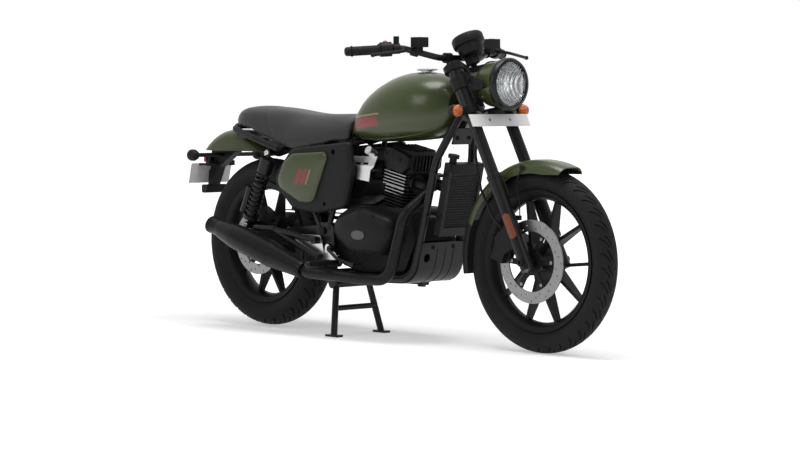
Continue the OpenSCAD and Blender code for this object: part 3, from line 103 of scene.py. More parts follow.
# Finishes
class Level:
    """A socket of a finish; sums on it add the nodes that work them out."""

    def __init__(self, finish, socket):
        self.finish, self.socket = finish, socket

    def sum(self, operation, *values):
        return self.finish.node("ShaderNodeMath", {"operation": operation}, dict(enumerate(values)))

    def __add__(self, other):
        return self.sum("ADD", self, other)

    def __radd__(self, other):
        return self.sum("ADD", other, self)

    def __sub__(self, other):
        return self.sum("SUBTRACT", self, other)

    def __rsub__(self, other):
        return self.sum("SUBTRACT", other, self)

    def __mul__(self, other):
        return self.sum("MULTIPLY", self, other)

    def __rmul__(self, other):
        return self.sum("MULTIPLY", other, self)

    def __truediv__(self, other):
        return self.sum("DIVIDE", self, other)

    def __gt__(self, other):
        return self.sum("GREATER_THAN", self, other)

    def __lt__(self, other):
        return self.sum("LESS_THAN", self, other)

    def __abs__(self):
        return self.sum("ABSOLUTE", self)

    def __pow__(self, other):
        return self.sum("POWER", self, other)

    def wave(self):
        return self.sum("SINE", self)

    def root(self):
        return self.sum("SQRT", self)

    def clipped(self):
        return self.sum("MINIMUM", self.sum("MAXIMUM", self, 0.0), 1.0)

    def angle(self, other):
        return self.sum("ARCTAN2", self, other)

    def modulo(self, other):
        return self.sum("FLOORED_MODULO", self, other)

    def step(self, edge, soft):
        """Rises from 0 to 1 over a width of soft about edge."""
        return ((self - (edge - soft / 2)) * (1 / soft)).clipped()


class Nodes:
    """A node tree, and the nodes that are added to it."""

    def __init__(self, tree):
        self.tree = tree

    def feed(self, socket, value):
        if isinstance(value, Level):
            self.tree.links.new(value.socket, socket)
        elif socket.type == "RGBA" and len(value) == 3:
            socket.default_value = (*value, 1)
        else:
            socket.default_value = value

    def node(self, kind, settings=None, sockets=None, out=0):
        made = self.tree.nodes.new(kind)
        for key, value in (settings or {}).items():
            if key == "stops":
                for i, (place, colour) in enumerate(value):
                    stop = made.color_ramp.elements[i] if i < 2 else made.color_ramp.elements.new(place)
                    stop.position, stop.color = place, (*colour, 1)
            else:
                setattr(made, key, value)
        for key, value in (sockets or {}).items():
            self.feed(made.inputs[key], value)
        return Level(self, made.outputs[out])

    def place(self, kind="Object"):
        return self.node("ShaderNodeTexCoord", out=kind)

    def axes(self, kind="Object"):
        split = self.node("ShaderNodeSeparateXYZ", sockets={"Vector": self.place(kind)})
        return [Level(self, split.socket.node.outputs[k]) for k in "XYZ"]


class Finish(Nodes):
    def __init__(self, name):
        self.material = bpy.data.materials.new(name)
        self.material.use_nodes = True
        super().__init__(self.material.node_tree)
        self.shader = self.tree.nodes["Principled BSDF"]

    def give(self, **values):
        for key, value in values.items():
            self.feed(self.shader.inputs[key.replace("_", " ").title().replace("Ior", "IOR")], value)
        return self

    def joined(self, x, y, z):
        return self.node("ShaderNodeCombineXYZ", sockets={"X": x, "Y": y, "Z": z})

    def noise(self, scale, detail=3.0, where=None):
        return self.node("ShaderNodeTexNoise",
                         sockets={"Vector": where or self.place(), "Scale": scale, "Detail": detail})

    def cells(self, scale, feature="F1", where=None, out="Distance"):
        return self.node("ShaderNodeTexVoronoi", {"feature": feature},
                         {"Vector": where or self.place(), "Scale": scale}, out)

    def mix(self, share, first, second):
        return self.node("ShaderNodeMix", {"data_type": "RGBA"}, {0: share, 6: first, 7: second}, 2)

    def relief(self, height, depth, strength=1.0, normal=None):
        sockets = {"Height": height, "Distance": depth, "Strength": strength}
        if normal:
            sockets["Normal"] = normal
        return self.node("ShaderNodeBump", sockets=sockets, out="Normal")

    def eased(self, width):
        """A normal that rounds the sharp edges of a cast or pressed piece by the width."""
        return self.node("ShaderNodeBevel", {"samples": 4}, {"Radius": width})

    def edge(self, width):
        """1 along the sharp edges of a piece, 0 on its faces."""
        flat = self.node("ShaderNodeNewGeometry", out="Normal")
        dot = self.node("ShaderNodeVectorMath", {"operation": "DOT_PRODUCT"},
                        {0: self.eased(width), 1: flat}, "Value")
        return ((1 - dot) * 4).clipped()


def paint(name, colour, rough, grain=900, depth=0.00002, coat=0.0, soft=0.0012, edge_wear_and_highlight=None, metal=0.0,
          shine=0.5):
    """Paint or plastic with a fine skin, slow changes of tone, and sharp edges lighter in patches: worn paint
    with a painted highlight.
    """
    f = Finish(name)
    slow = f.noise(9, 4)
    shade = f.mix((slow - 0.5) * 0.5 + 0.5, [c * 0.88 for c in colour], [c * 1.12 for c in colour])
    # Sharp edges are made lighter in noisy patches: worn paint, and a painted highlight along the edges.
    if edge_wear_and_highlight:
        shade = f.mix(f.edge(soft * 1.4) * (f.noise(60) * 0.7), shade, edge_wear_and_highlight)
    f.give(base_color=shade, roughness=f.noise(35) * 0.14 + (rough - 0.07), metallic=metal,
           coat_weight=coat, coat_roughness=0.2, specular_ior_level=shine,
           normal=f.relief(f.noise(grain, 2), depth, 1.0, f.eased(soft)))
    return f


OLIVE = (0.036, 0.05, 0.011)
RED, TAN = (0.23, 0.022, 0.018), (0.26, 0.165, 0.085)


def olive_paint(name, stripes=None):
    f = Finish(name)
    shade = f.mix((f.noise(6, 3) - 0.5) * 0.6 + 0.5, [c * 0.92 for c in OLIVE], [c * 1.08 for c in OLIVE])
    if stripes:
        shade = stripes(f, shade)
    # Sharp edges are painted 1.8 times lighter: a painted highlight along the edges of tank, panels and
    # fenders.
    shade = f.mix(f.edge(0.0012) * 0.35, shade, [c * 1.8 for c in OLIVE])
    f.give(base_color=shade, roughness=f.noise(25) * 0.08 + 0.34, coat_weight=0.5, coat_roughness=0.22,
           specular_ior_level=0.24, normal=f.relief(f.noise(420, 2), 0.000012, 1.0, f.eased(0.0012)))
    return f


def tank_bands(f, ground):
    """Two plain bands that rise along the lower side of the tank, red under tan."""
    x, y, z = f.axes()
    across = z * 1000 - 768 - 0.10 * (x * 1000 + MID - 560)
    along = x * 1000 + MID + 0.55 * across
    run = along.step(566, 1.2) * (1 - along.step(700, 1.2))
    red = across.step(-25, 0.8) * (1 - across.step(8, 0.8)) * run
    run_tan = along.step(566, 1.2) * (1 - along.step(722, 1.2))
    tan = across.step(13, 0.8) * (1 - across.step(20, 0.8)) * run_tan
    return f.mix(tan, f.mix(red, ground, RED), TAN)


def panel_bands(f, ground):
    """Three short slanted bars on the side panel."""
    x, y, z = f.axes()
    across = z * 1000 - 572
    along = x * 1000 + MID - 0.45 * across
    tall = across.step(-28, 0.8) * (1 - across.step(26, 0.8))
    shade = ground
    for start, end, colour in ((318, 340, RED), (347, 369, RED), (376, 384, TAN)):
        shade = f.mix(along.step(start, 0.8) * (1 - along.step(end, 0.8)) * tall, shade, colour)
    return shade


def ground_steel(name, x0, z0):
    """Steel ground in rings about an axle."""
    f = Finish(name)
    x, y, z = f.axes()
    u, v = x - (x0 - MID) / 1000, z - z0 / 1000
    ring = (u * u + v * v).root()
    lines = f.noise(1.0, 4, f.joined(ring * 1400, v.angle(u) * 0.6, 0.0))
    f.give(base_color=f.mix(lines, (0.2, 0.2, 0.203), (0.34, 0.34, 0.344)),
           roughness=lines * 0.2 + 0.26, metallic=1.0,
           normal=f.relief(lines, 0.00002, 0.6, f.eased(0.0006)))
    return f


def rubber(name, tone=0.016, grain=500):
    f = Finish(name)
    f.give(base_color=f.mix(f.noise(14, 4), (tone * 0.75,) * 3, (tone * 1.3,) * 3),
           roughness=f.noise(80) * 0.2 + 0.6,
           specular_ior_level=0.22, normal=f.relief(f.noise(grain, 3), 0.00008))
    return f


def seat_leather():
    """Grained cover: fine cells with creases between them, the cover painted darker where the creases sink as
    a painted shade.
    """
    f = Finish("seat_leather")
    pore = f.cells(520)
    crease_and_painted_shade = f.noise(60, 5)
    # The cover is painted darker where the creases sink: painted shade in the creases.
    f.give(base_color=f.mix(crease_and_painted_shade, (0.009, 0.009, 0.0093), (0.016, 0.016, 0.0165)),
           roughness=pore * 0.16 + 0.38,
           specular_ior_level=0.36, sheen_weight=0.12, sheen_roughness=0.5,
           normal=f.relief(pore * 0.7 + crease_and_painted_shade * 0.6, 0.0003, 0.7))
    return f


def clear(name, colour, rough, through, thick=1.45, relief=None):
    f = Finish(name)
    f.give(base_color=colour, roughness=rough, transmission_weight=through, ior=thick)
    if relief:
        f.give(normal=relief(f))
    return f


def ribbed(f):
    x, y, z = f.axes()
    return f.relief((z * 1100).wave() * 0.5 + (y * 1100).wave() * 0.5, 0.0008)


def lamp_reflector():
    """Silvered bowl with upright flutes, painted lighter on their crests and darker in their hollows: painted
    highlight and painted shade.
    """
    f = Finish("lamp_reflector")
    x, y, z = f.axes()
    flute_and_painted_shade = (y * 700).wave() * 0.5 + 0.5
    # The silver is lighter on the flutes' crests and darker in their hollows: painted highlight and painted
    # shade.
    f.give(base_color=f.mix(flute_and_painted_shade, (0.3, 0.31, 0.32), (0.62, 0.63, 0.64)), roughness=0.12, metallic=1.0,
           normal=f.relief(flute_and_painted_shade, 0.0012))
    return f


FINISHES = {
    "green_paint": olive_paint("olive_paint"),
    "black_paint": paint("black_satin_paint", (0.007, 0.007, 0.0073), 0.36, 700, 0.00001, 0.05,
                         edge_wear_and_highlight=(0.03, 0.03, 0.03), shine=0.24),
    "black_cast": paint("black_cast_alloy", (0.007, 0.007, 0.0073), 0.46, 1300, 0.00006,
                        edge_wear_and_highlight=(0.035, 0.035, 0.035), shine=0.16),
    "black_plastic": paint("black_moulded_plastic", (0.009, 0.009, 0.0093), 0.52, 2400, 0.00005,
                           edge_wear_and_highlight=(0.025, 0.025, 0.025), shine=0.18),
    "black_steel": paint("heat_proof_black", (0.007, 0.007, 0.0072), 0.36, 1500, 0.00003,
                         edge_wear_and_highlight=(0.04, 0.039, 0.037), shine=0.17),
    "bare_steel": paint("bare_steel", (0.3, 0.3, 0.305), 0.34, 900, 0.00001, metal=1.0),
    "bare_alloy": paint("satin_alloy", (0.68, 0.68, 0.69), 0.3, 1500, 0.00001, metal=1.0),
    "seat_cover": seat_leather(),
    "tyre_rubber": rubber("tyre_rubber", 0.008, 700),
    "grip_rubber": rubber("grip_rubber", 0.009, 1800),
    "clear_glass": clear("lamp_glass", (0.97, 0.98, 0.98), 0.02, 1.0),
    "reflector": lamp_reflector(),
    "amber_lens": clear("amber_lens", (0.8, 0.2, 0.02), 0.14, 0.55, 1.49, ribbed),
    "red_lens": clear("red_lens", (0.4, 0.012, 0.012), 0.14, 0.4, 1.49, ribbed),
    "plate_white": paint("plate_white", (0.78, 0.78, 0.775), 0.45, 900, 0.00001),
}
FRONT_DISC = ground_steel("front_disc_steel", WHEELBASE, FRONT_Z)
REAR_DISC = ground_steel("rear_disc_steel", 0, REAR_Z)
OWN = {"front_disc": FRONT_DISC, "rear_disc": REAR_DISC, "sprocket": REAR_DISC,
       "front_axle": FINISHES["black_cast"], "rear_axle": FINISHES["black_cast"],
       "fuel_tank": olive_paint("tank_paint", tank_bands),
       "side_panels": olive_paint("panel_paint", panel_bands)}


def finish_of(node):
    row = next(r for r in frame["record"]["subparts"] if r["node"] == node)
    return OWN.get(node) or FINISHES[row["material_slot"]]


def smooth_faces(mesh, limit=32):
    """Shades a solid's curved faces smooth and keeps the edges between them sharp."""
    by_place = {}
    for p in mesh.polygons:
        for key in p.edge_keys:
            ends = tuple(sorted(tuple(round(c, 6) for c in mesh.vertices[i].co) for i in key))
            by_place.setdefault(ends, []).append(p.normal.copy())
    cut = math.cos(math.radians(limit))
    for e in mesh.edges:
        ends = tuple(sorted(tuple(round(c, 6) for c in mesh.vertices[i].co) for i in e.vertices))
        near = by_place.get(ends, [])
        e.use_edge_sharp = len(near) != 2 or near[0].dot(near[1]) < cut
    mesh.polygons.foreach_set("use_smooth", [True] * len(mesh.polygons))


for name, thing in nodes.items():
    thing.data.materials.clear()
    thing.data.materials.append(finish_of(name).material)
    if thing.data.has_custom_normals:
        thing.data.attributes.remove(thing.data.attributes["custom_normal"])
    smooth_faces(thing.data)
    weld = thing.modifiers.new("joined_faces", "WELD")
    weld.merge_threshold = 0.000002


# Pieces that the solids leave to this script
def piece(name, verts, faces, finish, body, limit=32):
    mesh = bpy.data.meshes.new(name)
    mesh.from_pydata([tuple(v) for v in verts], [], faces)
    mesh.update()
    mesh.materials.append(finish.material)
    smooth_faces(mesh, limit)
    thing = bpy.data.objects.new(name, mesh)
    scene.collection.objects.link(thing)
    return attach(thing, body)


def ring_faces(rings, sides):
    """Faces between rings of vertices that follow one another, with flat ends."""
    faces = [(i * sides + j, i * sides + (j + 1) % sides,
              (i + 1) * sides + (j + 1) % sides, (i + 1) * sides + j)
             for i in range(rings - 1) for j in range(sides)]
    return faces + [tuple(range(sides))[::-1], tuple((rings - 1) * sides + j for j in range(sides))]


def tyre(name, node, body, x0, z0, outer, rim, wide, rim_wide, pitches, deep):
    """Road tyre turned about the axle. The sides of each slanted groove are columns of the mesh."""
    crown, bead = outer / 2, rim / 2 + 0.3
    mid = bead + (crown - bead) / 2
    half = [3 * i for i in range(22)] + [67, 72, 76, 78, 80, 82, 88, 94, 96, 98, 100, 106, 112]
    rows = [-a for a in half[:0:-1]] + half
    columns = [(0.0, 0, 0), (0.03, 1, 0), (0.15, 1, 0), (0.18, 0, 0), (0.34, 0, 0),
               (0.5, 0, 0), (0.53, 0, 1), (0.63, 0, 1), (0.66, 0, 0), (0.83, 0, 0)]

    def sunk(a, long_one, short_one):
        if a < 0:
            long_one, short_one = short_one, long_one
        a = abs(a)
        rib = 0.7 if 77 < a < 81 or 95 < a < 99 else 0.0
        if not (long_one or short_one):
            return -rib
        first, last = (17, 61) if long_one else (4, 33)
        return deep * max(0.0, min(1.0, (a - first) / 5, (last - a) / 5)) - rib

    verts = []
    count = pitches * len(columns)
    for a in rows:
        lead = 1.25 * (1 - (1 - min(abs(a), 62) / 62) ** 1.8)
        for k in range(pitches):
            for part, long_one, short_one in columns:
                d = sunk(a, long_one, short_one)
                r = mid + (crown - mid - d) * math.cos(math.radians(a)) * (0.9 if abs(a) > 90 else 1)
                t = math.tau * (k + part + lead) / pitches
                y = (wide / 2 - d) * math.sin(math.radians(a))
                verts.append(at(x0 + r * math.cos(t), y, z0 + r * math.sin(t)))
    lead = 1.25
    for r, y in ((bead + 11, rim_wide / 2 - 1.3), (bead, rim_wide / 2 - 3.3), (bead, 3.3 - rim_wide / 2),
                 (bead + 11, 1.3 - rim_wide / 2)):
        for k in range(pitches):
            for part, _, _ in columns:
                t = math.tau * (k + part + lead) / pitches
                verts.append(at(x0 + r * math.cos(t), y, z0 + r * math.sin(t)))
    total = len(rows) + 4
    faces = [((i * count + j), (i * count + (j + 1) % count), ((i + 1) % total * count + (j + 1) % count),
              ((i + 1) % total * count + j)) for i in range(total) for j in range(count)]
    made = piece(name, verts, [f[::-1] for f in faces], FINISHES["tyre_rubber"], body, 28)
    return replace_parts(made, node)


tyre("front_road_tyre", "front_tyre", "front_wheel", WHEELBASE, FRONT_Z, 619, 457, 92, 58, 38, 4.5)
tyre("rear_road_tyre", "rear_tyre", "rear_wheel", 0, REAR_Z, 624, 432, 124, 80, 34, 5.5)


def rows_of_heads(name, body, finish, heads):
    """Socket-head screws: place, direction out of the surface, radius and height in millimetres."""
    verts, faces, head_sides = [], [], 12
    for place, out, r, h in heads:
        turn = Vector(out).to_track_quat("Z", "X").to_matrix()
        base = len(verts)
        rings = [(r, -h), (r, h * 0.8), (r * 0.86, h), (r * 0.52, h), (r * 0.52, h * 0.35), (0.01, h * 0.35)]
        verts += [at(*place) + turn @ Vector((radius * c, radius * s, up)) / 1000
                  for radius, up in rings for c, s in around(head_sides)]
        faces += [tuple(base + i for i in f) for f in ring_faces(len(rings), head_sides)]
    return piece(name, verts, faces, finish, body, 40)


def tube(points, width, sides=10):
    """Rings of a round tube along points, in metres."""
    verts = []
    side = None
    for i, p in enumerate(points):
        ahead = (points[min(i + 1, len(points) - 1)] - points[max(i - 1, 0)]).normalized()
        if side is None:
            side = ahead.orthogonal().normalized()
        side = (side - ahead * side.dot(ahead)).normalized()
        other = ahead.cross(side)
        verts += [p + (side * c + other * s) * width / 2 for c, s in around(sides)]
    return verts, ring_faces(len(points), sides)


def two_finishes(node, finish, chosen):
    """Gives the faces of a solid that are chosen by centre and normal a second finish."""
    mesh = nodes[node].data
    mesh.materials.append(finish.material)
    for p in mesh.polygons:
        c = p.center
        if chosen(c.x * 1000 + MID, c.y * 1000, c.z * 1000, p.normal):
            p.material_index = len(mesh.materials) - 1


DARK = FINISHES["black_cast"]
ALLOY = FINISHES["bare_alloy"]
two_finishes("front_disc", DARK, lambda x, y, z, n: math.hypot(x - WHEELBASE, z - FRONT_Z) < 101)
two_finishes("rear_disc", DARK, lambda x, y, z, n: math.hypot(x, z - REAR_Z) < 84)
two_finishes("footrests", ALLOY,
             lambda x, y, z, n: abs(n.y) > 0.9 and 123 < abs(y) < 130.5 and x > 230 and z > 266)
fin_edge = paint("machined_fin_edge", (0.4, 0.4, 0.405), 0.4, 900, 0.00002, metal=1.0)
for node in ("cylinder", "cylinder_head"):
    wide = max(abs(c[1]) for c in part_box(node)) * 1000
    two_finishes(node, fin_edge, lambda x, y, z, n: abs(n.y) > 0.9 and abs(y) > wide - 2 and z > 520)


def core_mesh():
    """Fine square mesh of the radiator, the openings between the wires painted near black as a painted shade
    of the core behind.
    """
    f = Finish("radiator_mesh")
    x, y, z = f.axes()
    wire = (abs((y * 1050).wave()) ** 8.0 + abs((z * 1050).wave()) ** 8.0).clipped()
    # The openings between the wires are painted near black: painted shade of the core behind the mesh.
    f.give(base_color=f.mix(wire, (0.006, 0.006, 0.006), (0.045, 0.045, 0.046)), roughness=0.5,
           specular_ior_level=0.3, normal=f.relief(wire, 0.0008))
    return f


core_half, core_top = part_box("radiator")[1][1] * 1000 - 14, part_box("radiator")[1][2] * 1000 - 70
two_finishes("radiator", core_mesh(), lambda x, y, z, n: n.x > 0.8 and abs(y) < core_half and z < core_top)
two_finishes("rear_lamps", FINISHES["amber_lens"], lambda x, y, z, n: abs(y) > 100)


def averaged(mesh, values, times):
    """Vectors of a mesh's points, each evened out with those of its neighbours."""
    links = [e.vertices[:] for e in mesh.edges]
    for _ in range(times):
        total, count = [v.copy() for v in values], [1] * len(values)
        for a, b in links:
            total[a] += values[b]
            total[b] += values[a]
            count[a] += 1
            count[b] += 1
        values = [t / c for t, c in zip(total, count)]
    return values


# Seat cover: foam under a grained skin
SEAT_VOXEL, SEAT_SWELL, SEAT_NOSE = 0.006, 0.006, 535
FOAM_FRAMES = 20


def seat_cover():
    base = nodes["seat"]
    thing = bpy.data.objects.new("seat_cover", base.data.copy())
    scene.collection.objects.link(thing)
    thing.matrix_world = base.matrix_world

    def settle():
        bpy.context.view_layer.update()
        solid = thing.evaluated_get(bpy.context.evaluated_depsgraph_get())
        mesh = bpy.data.meshes.new_from_object(solid)
        thing.modifiers.clear()
        thing.data = mesh

    even = thing.modifiers.new("even", "REMESH")
    even.mode, even.voxel_size = "VOXEL", SEAT_VOXEL
    settle()
    rest = [v.co.copy() for v in thing.data.vertices]
    held = thing.vertex_groups.new(name="held")
    nose = at(SEAT_NOSE, 0, 0).x
    held.add([v.index for v in thing.data.vertices if v.normal.z < -0.15 or v.co.x > nose], 1.0, "ADD")
    foam = thing.modifiers.new("foam", "CLOTH")
    s = foam.settings
    s.use_pressure, s.uniform_pressure_force, s.mass = True, 4.0, 0.4
    s.tension_stiffness = s.compression_stiffness = s.shear_stiffness = 25
    s.effector_weights.gravity = 0.0
    s.vertex_group_mass = "held"
    foam.point_cache.frame_end = FOAM_FRAMES
    for k in range(1, FOAM_FRAMES + 1):
        scene.frame_set(k)
    settle()
    scene.frame_set(1)
    swell = [v.co - r for v, r in zip(thing.data.vertices, rest)]
    swell = [s if s.length < SEAT_SWELL else s.normalized() * SEAT_SWELL for s in swell]
    for v, r, s in zip(thing.data.vertices, averaged(thing.data, rest, 4), averaged(thing.data, swell, 14)):
        x = r.x * 1000 + MID
        # The skirt hangs a little lower over the side covers and under the tail
        over_cover = 12 * max(0.0, 1 - ((x - 335) / 115) ** 2) if abs(r.y) > 0.09 else 0.0
        tail = 8 * min(1.0, max(0.0, (10 - x) / 40))
        low = max(0.0, min(1.0, (0.5 - v.normal.z) / 0.8))
        v.co = r + s - Vector((0, 0, max(over_cover, tail) * low / 1000))
    return thing


seat = seat_cover()


def seat_point(x, lean):
    """The seat's surface at station x, lean degrees off the vertical about its middle."""
    a = math.radians(lean)
    start = at(x, 0, 745)
    hit, place, normal, _ = seat.ray_cast(start + Vector((0, math.sin(a), math.cos(a))) * 0.3,
                                          -Vector((0, math.sin(a), math.cos(a))))
    return (place, normal) if hit else (start, Vector((0, 0, 1)))


stitched = []
for k in range(-30, 31):
    lean = k * 3.3
    stitched.append(seat_point(42 + 95 * (abs(lean) / 99) ** 2, lean))
for v in seat.data.vertices:
    near = min((v.co - p).length for p, _ in stitched[::2])
    if near < 0.016 and v.normal.z > -0.3:
        v.co -= v.normal * 0.0022 * math.exp(-(near / 0.006) ** 2)
smoother = seat.modifiers.new("smooth", "SUBSURF")
smoother.levels = smoother.render_levels = 1
seat.data.materials.clear()
seat.data.materials.append(FINISHES["seat_cover"].material)
seat.data.polygons.foreach_set("use_smooth", [True] * len(seat.data.polygons))
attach(seat, "chassis")
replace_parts(seat, "seat")
verts, faces = tube([p - n * 0.0014 for p, n in stitched], 0.0016, 6)
piece("seat_seam", verts, faces, FINISHES["seat_cover"], "chassis")


# Screw heads
def surface(node, start, way):
    """Where a line from start, in millimetres, meets a solid, and the direction out of it there."""
    hit, place, normal, _ = nodes[node].ray_cast(at(*start), Vector(way))
    if not hit:
        return None
    return (place.x * 1000 + MID, place.y * 1000, place.z * 1000), normal


def screws(node, starts, way, r, h, square=False):
    """Screw heads set on a solid where lines along way from the starts meet it."""
    found = [surface(node, s, way) for s in starts]
    return [(f[0], tuple(-c for c in way) if square else f[1], r, h) for f in found if f]


cover_screws = ((514, 380), (548, 434), (640, 464), (714, 442), (790, 410), (778, 352), (722, 313), (618, 313))
chassis_screws = []
for side, _ in SIDES:
    inward = (0, -side, 0)
    for node, spots, r, h, square in (("crankcase", cover_screws, 6, 3.5, False),
                                      ("head_cover", ((772, 638), (706, 660)), 6, 3, True),
                                      ("side_covers", ((498, 662), (452, 476)), 6, 3, True)):
        chassis_screws += screws(node, [(x, side * 400, z) for x, z in spots], inward, r, h, square)
chassis_screws += screws("skid_plate", [(1300, y, 336) for y in (-50, 50)], (-1, 0, 0), 8, 3)
chassis_screws += screws("tube_plate", [(1300, y, 716) for y in (-28, 28)], (-1, 0, 0), 7, 4)
rows_of_heads("engine_and_cover_screws", "chassis", DARK, chassis_screws)
shock_eye_end = 140
rows_of_heads("shock_nuts", "chassis", ALLOY, [
    ((x, side * shock_eye_end, z), (0, side, 0), 9, 5)
    for side, _ in SIDES for x, z in ((135, 655), (15, 385))])
lamp_screws = screws("front_plate", [(1500, y, 779) for y in (-50, 50)], (-1, 0, 0), 5, 2)
for side, _ in SIDES:
    lamp_screws += screws("headlamp_shell", [(1147, side * 400, 856)], (0, -side, 0), 6, 3)
rows_of_heads("lamp_and_plate_screws", "steering", FINISHES["bare_steel"], lamp_screws)
disc_arms = 6
for body, node, x0, z0, r, proud in (("front_wheel", "front_disc", WHEELBASE, FRONT_Z, 88, 2.5),
                                     ("rear_wheel", "rear_disc", 0, REAR_Z, 70, 1.4)):
    rows_of_heads(node + "_buttons", body, FINISHES["bare_steel"], screws(node, [
        (x0 + r * math.cos(math.tau * k / disc_arms), -300, z0 + r * math.sin(math.tau * k / disc_arms))
        for k in range(disc_arms)], (0, 1, 0), 6, proud, True))


def rings_piece(name, rings, finish, body, limit=40):
    """A closed piece between rings of points that follow one another."""
    points = [p for ring in rings for p in ring]
    return piece(name, points, ring_faces(len(rings), len(rings[0])), finish, body, limit)


# Blank oval badge on each engine cover
badge_l, badge_h = 33, 17
badge_metal = paint("dark_badge_metal", (0.1, 0.1, 0.102), 0.36, metal=1.0)
for side, word in SIDES:
    spot = surface("crankcase", (652, side * 400, 374), (0, -side, 0))
    if spot:
        (x, y, z), n = spot
        rings = [[at(x + badge_l * k * c, y + side * up, z - side * badge_h * k * s) for c, s in around(40)]
                 for k, up in ((1, -4), (1, 1.6), (0.95, 2.4), (0.88, 2.4), (0.85, 1.4), (0.02, 1.4))]
        rings_piece("blank_badge_" + word, rings, badge_metal, "chassis")

# Reflectors on the fork sliders
amber_dull = clear("reflector_amber", (0.2, 0.055, 0.022), 0.3, 0.1)
for side, word in SIDES:
    rings = []
    for k in range(17):
        along = -1 + k / 8
        s = 128 + 46 * along
        over = max(0.0, abs(46 * along) - 34)
        half = max(0.4, math.sqrt(max(0.0, 144 - over * over))) / 25
        arc = [-0.45 + half * (j / 4 - 1) for j in range(9)]
        rings.append([on_fork(-27 * math.sin(a), side * (94 + 27 * math.cos(a)), s) for a in arc]
                     + [on_fork(-23 * math.sin(a), side * (94 + 23 * math.cos(a)), s) for a in reversed(arc)])
    rings_piece("slider_reflector_" + word, rings, amber_dull, "steering", 30)

# Seam along the foot of the tank
line = [(556, 716), (600, 709), (677, 709), (784, 717), (880, 729), (940, 746), (970, 764)]
for side, word in SIDES:
    run = []
    for k in range(61):
        x = 556 + (970 - 556) * k / 60
        i = max(j for j in range(len(line) - 1) if line[j][0] <= x)
        (x0, z0), (x1, z1) = line[i], line[i + 1]
        spot = surface("fuel_tank", (x, side * 400, z0 + (z1 - z0) * (x - x0) / (x1 - x0)), (0, -side, 0))
        if spot:
            run.append(at(*spot[0]))
    if len(run) > 5:
        verts, faces = tube(run, 0.006, 8)
        piece("tank_seam_" + word, verts, faces, FINISHES["green_paint"], "chassis")


# Instrument: dial with plain ticks, needle and glass
DIAL_X = 22


def turned(name, profile, finish):
    """A piece turned about the instrument's own axis."""
    rings = [[on_fork(DIAL_X + r * c, r * k, s) for c, k in around(48)] for r, s in profile]
    return rings_piece(name, rings, finish, "steering")


turned("dial_face", [(46, 828), (46, 829.6), (0.02, 829.6)], rubber("dial_black", 0.012))
pale = paint("dial_marks", (0.7, 0.7, 0.68), 0.5)
verts, faces = [], []
for k in range(41):
    a = math.radians(-220 + 260 * k / 40 - 70)
    inner, half = (32, 0.7) if k % 5 == 0 else (35, 0.4)
    c, s = math.cos(a), math.sin(a)
    base = len(verts)
    verts += [on_fork(DIAL_X + r * c - w * s, r * s + w * c, 829.9)
              for r, w in ((inner, -half), (40, -half), (40, half), (inner, half))]
    faces.append((base, base + 1, base + 2, base + 3))
base = len(verts)
verts += [on_fork(DIAL_X + r * 0.5 - w * 0.87, r * 0.87 + w * 0.5, 830.4)
          for r, w in ((-8, -1.2), (33, -0.4), (33, 0.4), (-8, 1.2))]
faces.append((base, base + 1, base + 2, base + 3))
piece("dial_ticks", verts, faces, pale, "steering")
turned("dial_glass", [(47, 831.5), (47, 832.5), (0.02, 832.9)], FINISHES["clear_glass"])

# Bulb shield in the headlamp and the red stop switch
low, high = (Vector(c) * 1000 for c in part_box("headlamp_glass"))
lamp_z = (low.z + high.z) / 2
rings = [[at(low.x + MID + x, r * c, lamp_z + r * s) for c, s in around(24)]
         for r, x in ((4, -40), (11, -38), (12, -22), (11, -17), (7, -14), (0.02, -13))]
rings_piece("bulb_shield", rings, FINISHES["bare_alloy"], "steering")
stop = paint("stop_switch_red", (0.35, 0.015, 0.012), 0.4)
rings = [[on_fork(-98 + r * c, -268 + 1.5 * r * k, s) for c, k in around(20)]
         for r, s in ((6, 862), (6, 874), (5, 876), (0.02, 876))]
rings_piece("stop_switch", rings, stop, "steering")

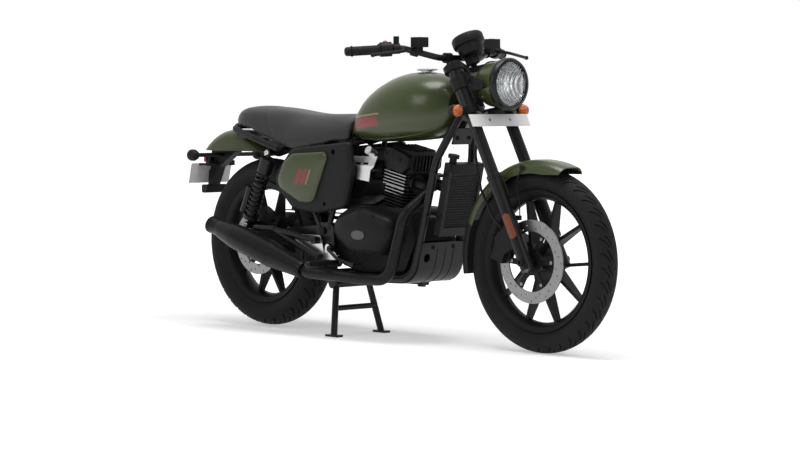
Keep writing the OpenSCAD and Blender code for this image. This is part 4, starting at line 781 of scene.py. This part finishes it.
# Floor, backdrop and lights
BACKDROP_RAYS = ("Camera", "Glossy", "Transmission")
floor_mesh = bpy.data.meshes.new("floor")
floor_mesh.from_pydata([(-60, -60, 0), (60, -60, 0), (60, 60, 0), (-60, 60, 0)], [], [(0, 1, 2, 3)])
floor = bpy.data.objects.new("floor", floor_mesh)
floor.location.z = cad_box[0][2]
scene.collection.objects.link(floor)
f = Finish("pale_floor")
seen = sum((f.node("ShaderNodeLightPath", out=f"Is {ray} Ray") for ray in BACKDROP_RAYS), 0.0)
x, y, z = f.axes()
far = ((x * x + y * y).root() * 0.5 - 0.75).clipped()
glow = f.node("ShaderNodeEmission",
              sockets={"Color": (1, 1, 1), "Strength": seen.clipped() * (far * 0.6 + 0.4)})
f.give(base_color=(0.82, 0.82, 0.82), roughness=0.9, specular_ior_level=0.0)
both = f.node("ShaderNodeAddShader", sockets={0: Level(f, f.shader.outputs[0]), 1: glow})
f.tree.links.new(both.socket, f.tree.nodes["Material Output"].inputs["Surface"])
floor_mesh.materials.append(f.material)

world = bpy.data.worlds.new("studio")
scene.world = world
world.use_nodes = True
studio = Nodes(world.node_tree)
rays = {ray: studio.node("ShaderNodeLightPath", out=f"Is {ray} Ray") for ray in BACKDROP_RAYS}
x, y, z = studio.axes("Generated")
# The room is bright behind the machine and darker in front of it
backdrop = ((y - x) * 0.7).step(0.1, 1.0) * 0.75 + 0.25
shown = (rays["Camera"] + rays["Transmission"] + rays["Glossy"] * backdrop).clipped()
sky = world.node_tree.nodes["Background"]
fill = (1 - rays["Camera"] - rays["Transmission"] - rays["Glossy"]).clipped() * 0.34
studio.feed(sky.inputs["Strength"], shown + fill)
sky.inputs["Color"].default_value = (1, 1, 1, 1)


def soft_light(name, place, target, size, power):
    lamp = bpy.data.lights.new(name, "AREA")
    lamp.shape, lamp.size, lamp.size_y, lamp.energy = "RECTANGLE", size[0], size[1], power
    thing = bpy.data.objects.new(name, lamp)
    scene.collection.objects.link(thing)
    aim(thing, Vector(place), target)


soft_light("overhead", (0.4, -0.3, 3.6), (0, 0, 0.5), (2.4, 1.3), 84)
soft_light("key", (-0.6, -4.2, 2.6), (0, 0, 0.55), (1.8, 1.8), 34)
soft_light("front", (4.2, -1.0, 2.4), (0.3, 0, 0.5), (1.8, 2.2), 28)
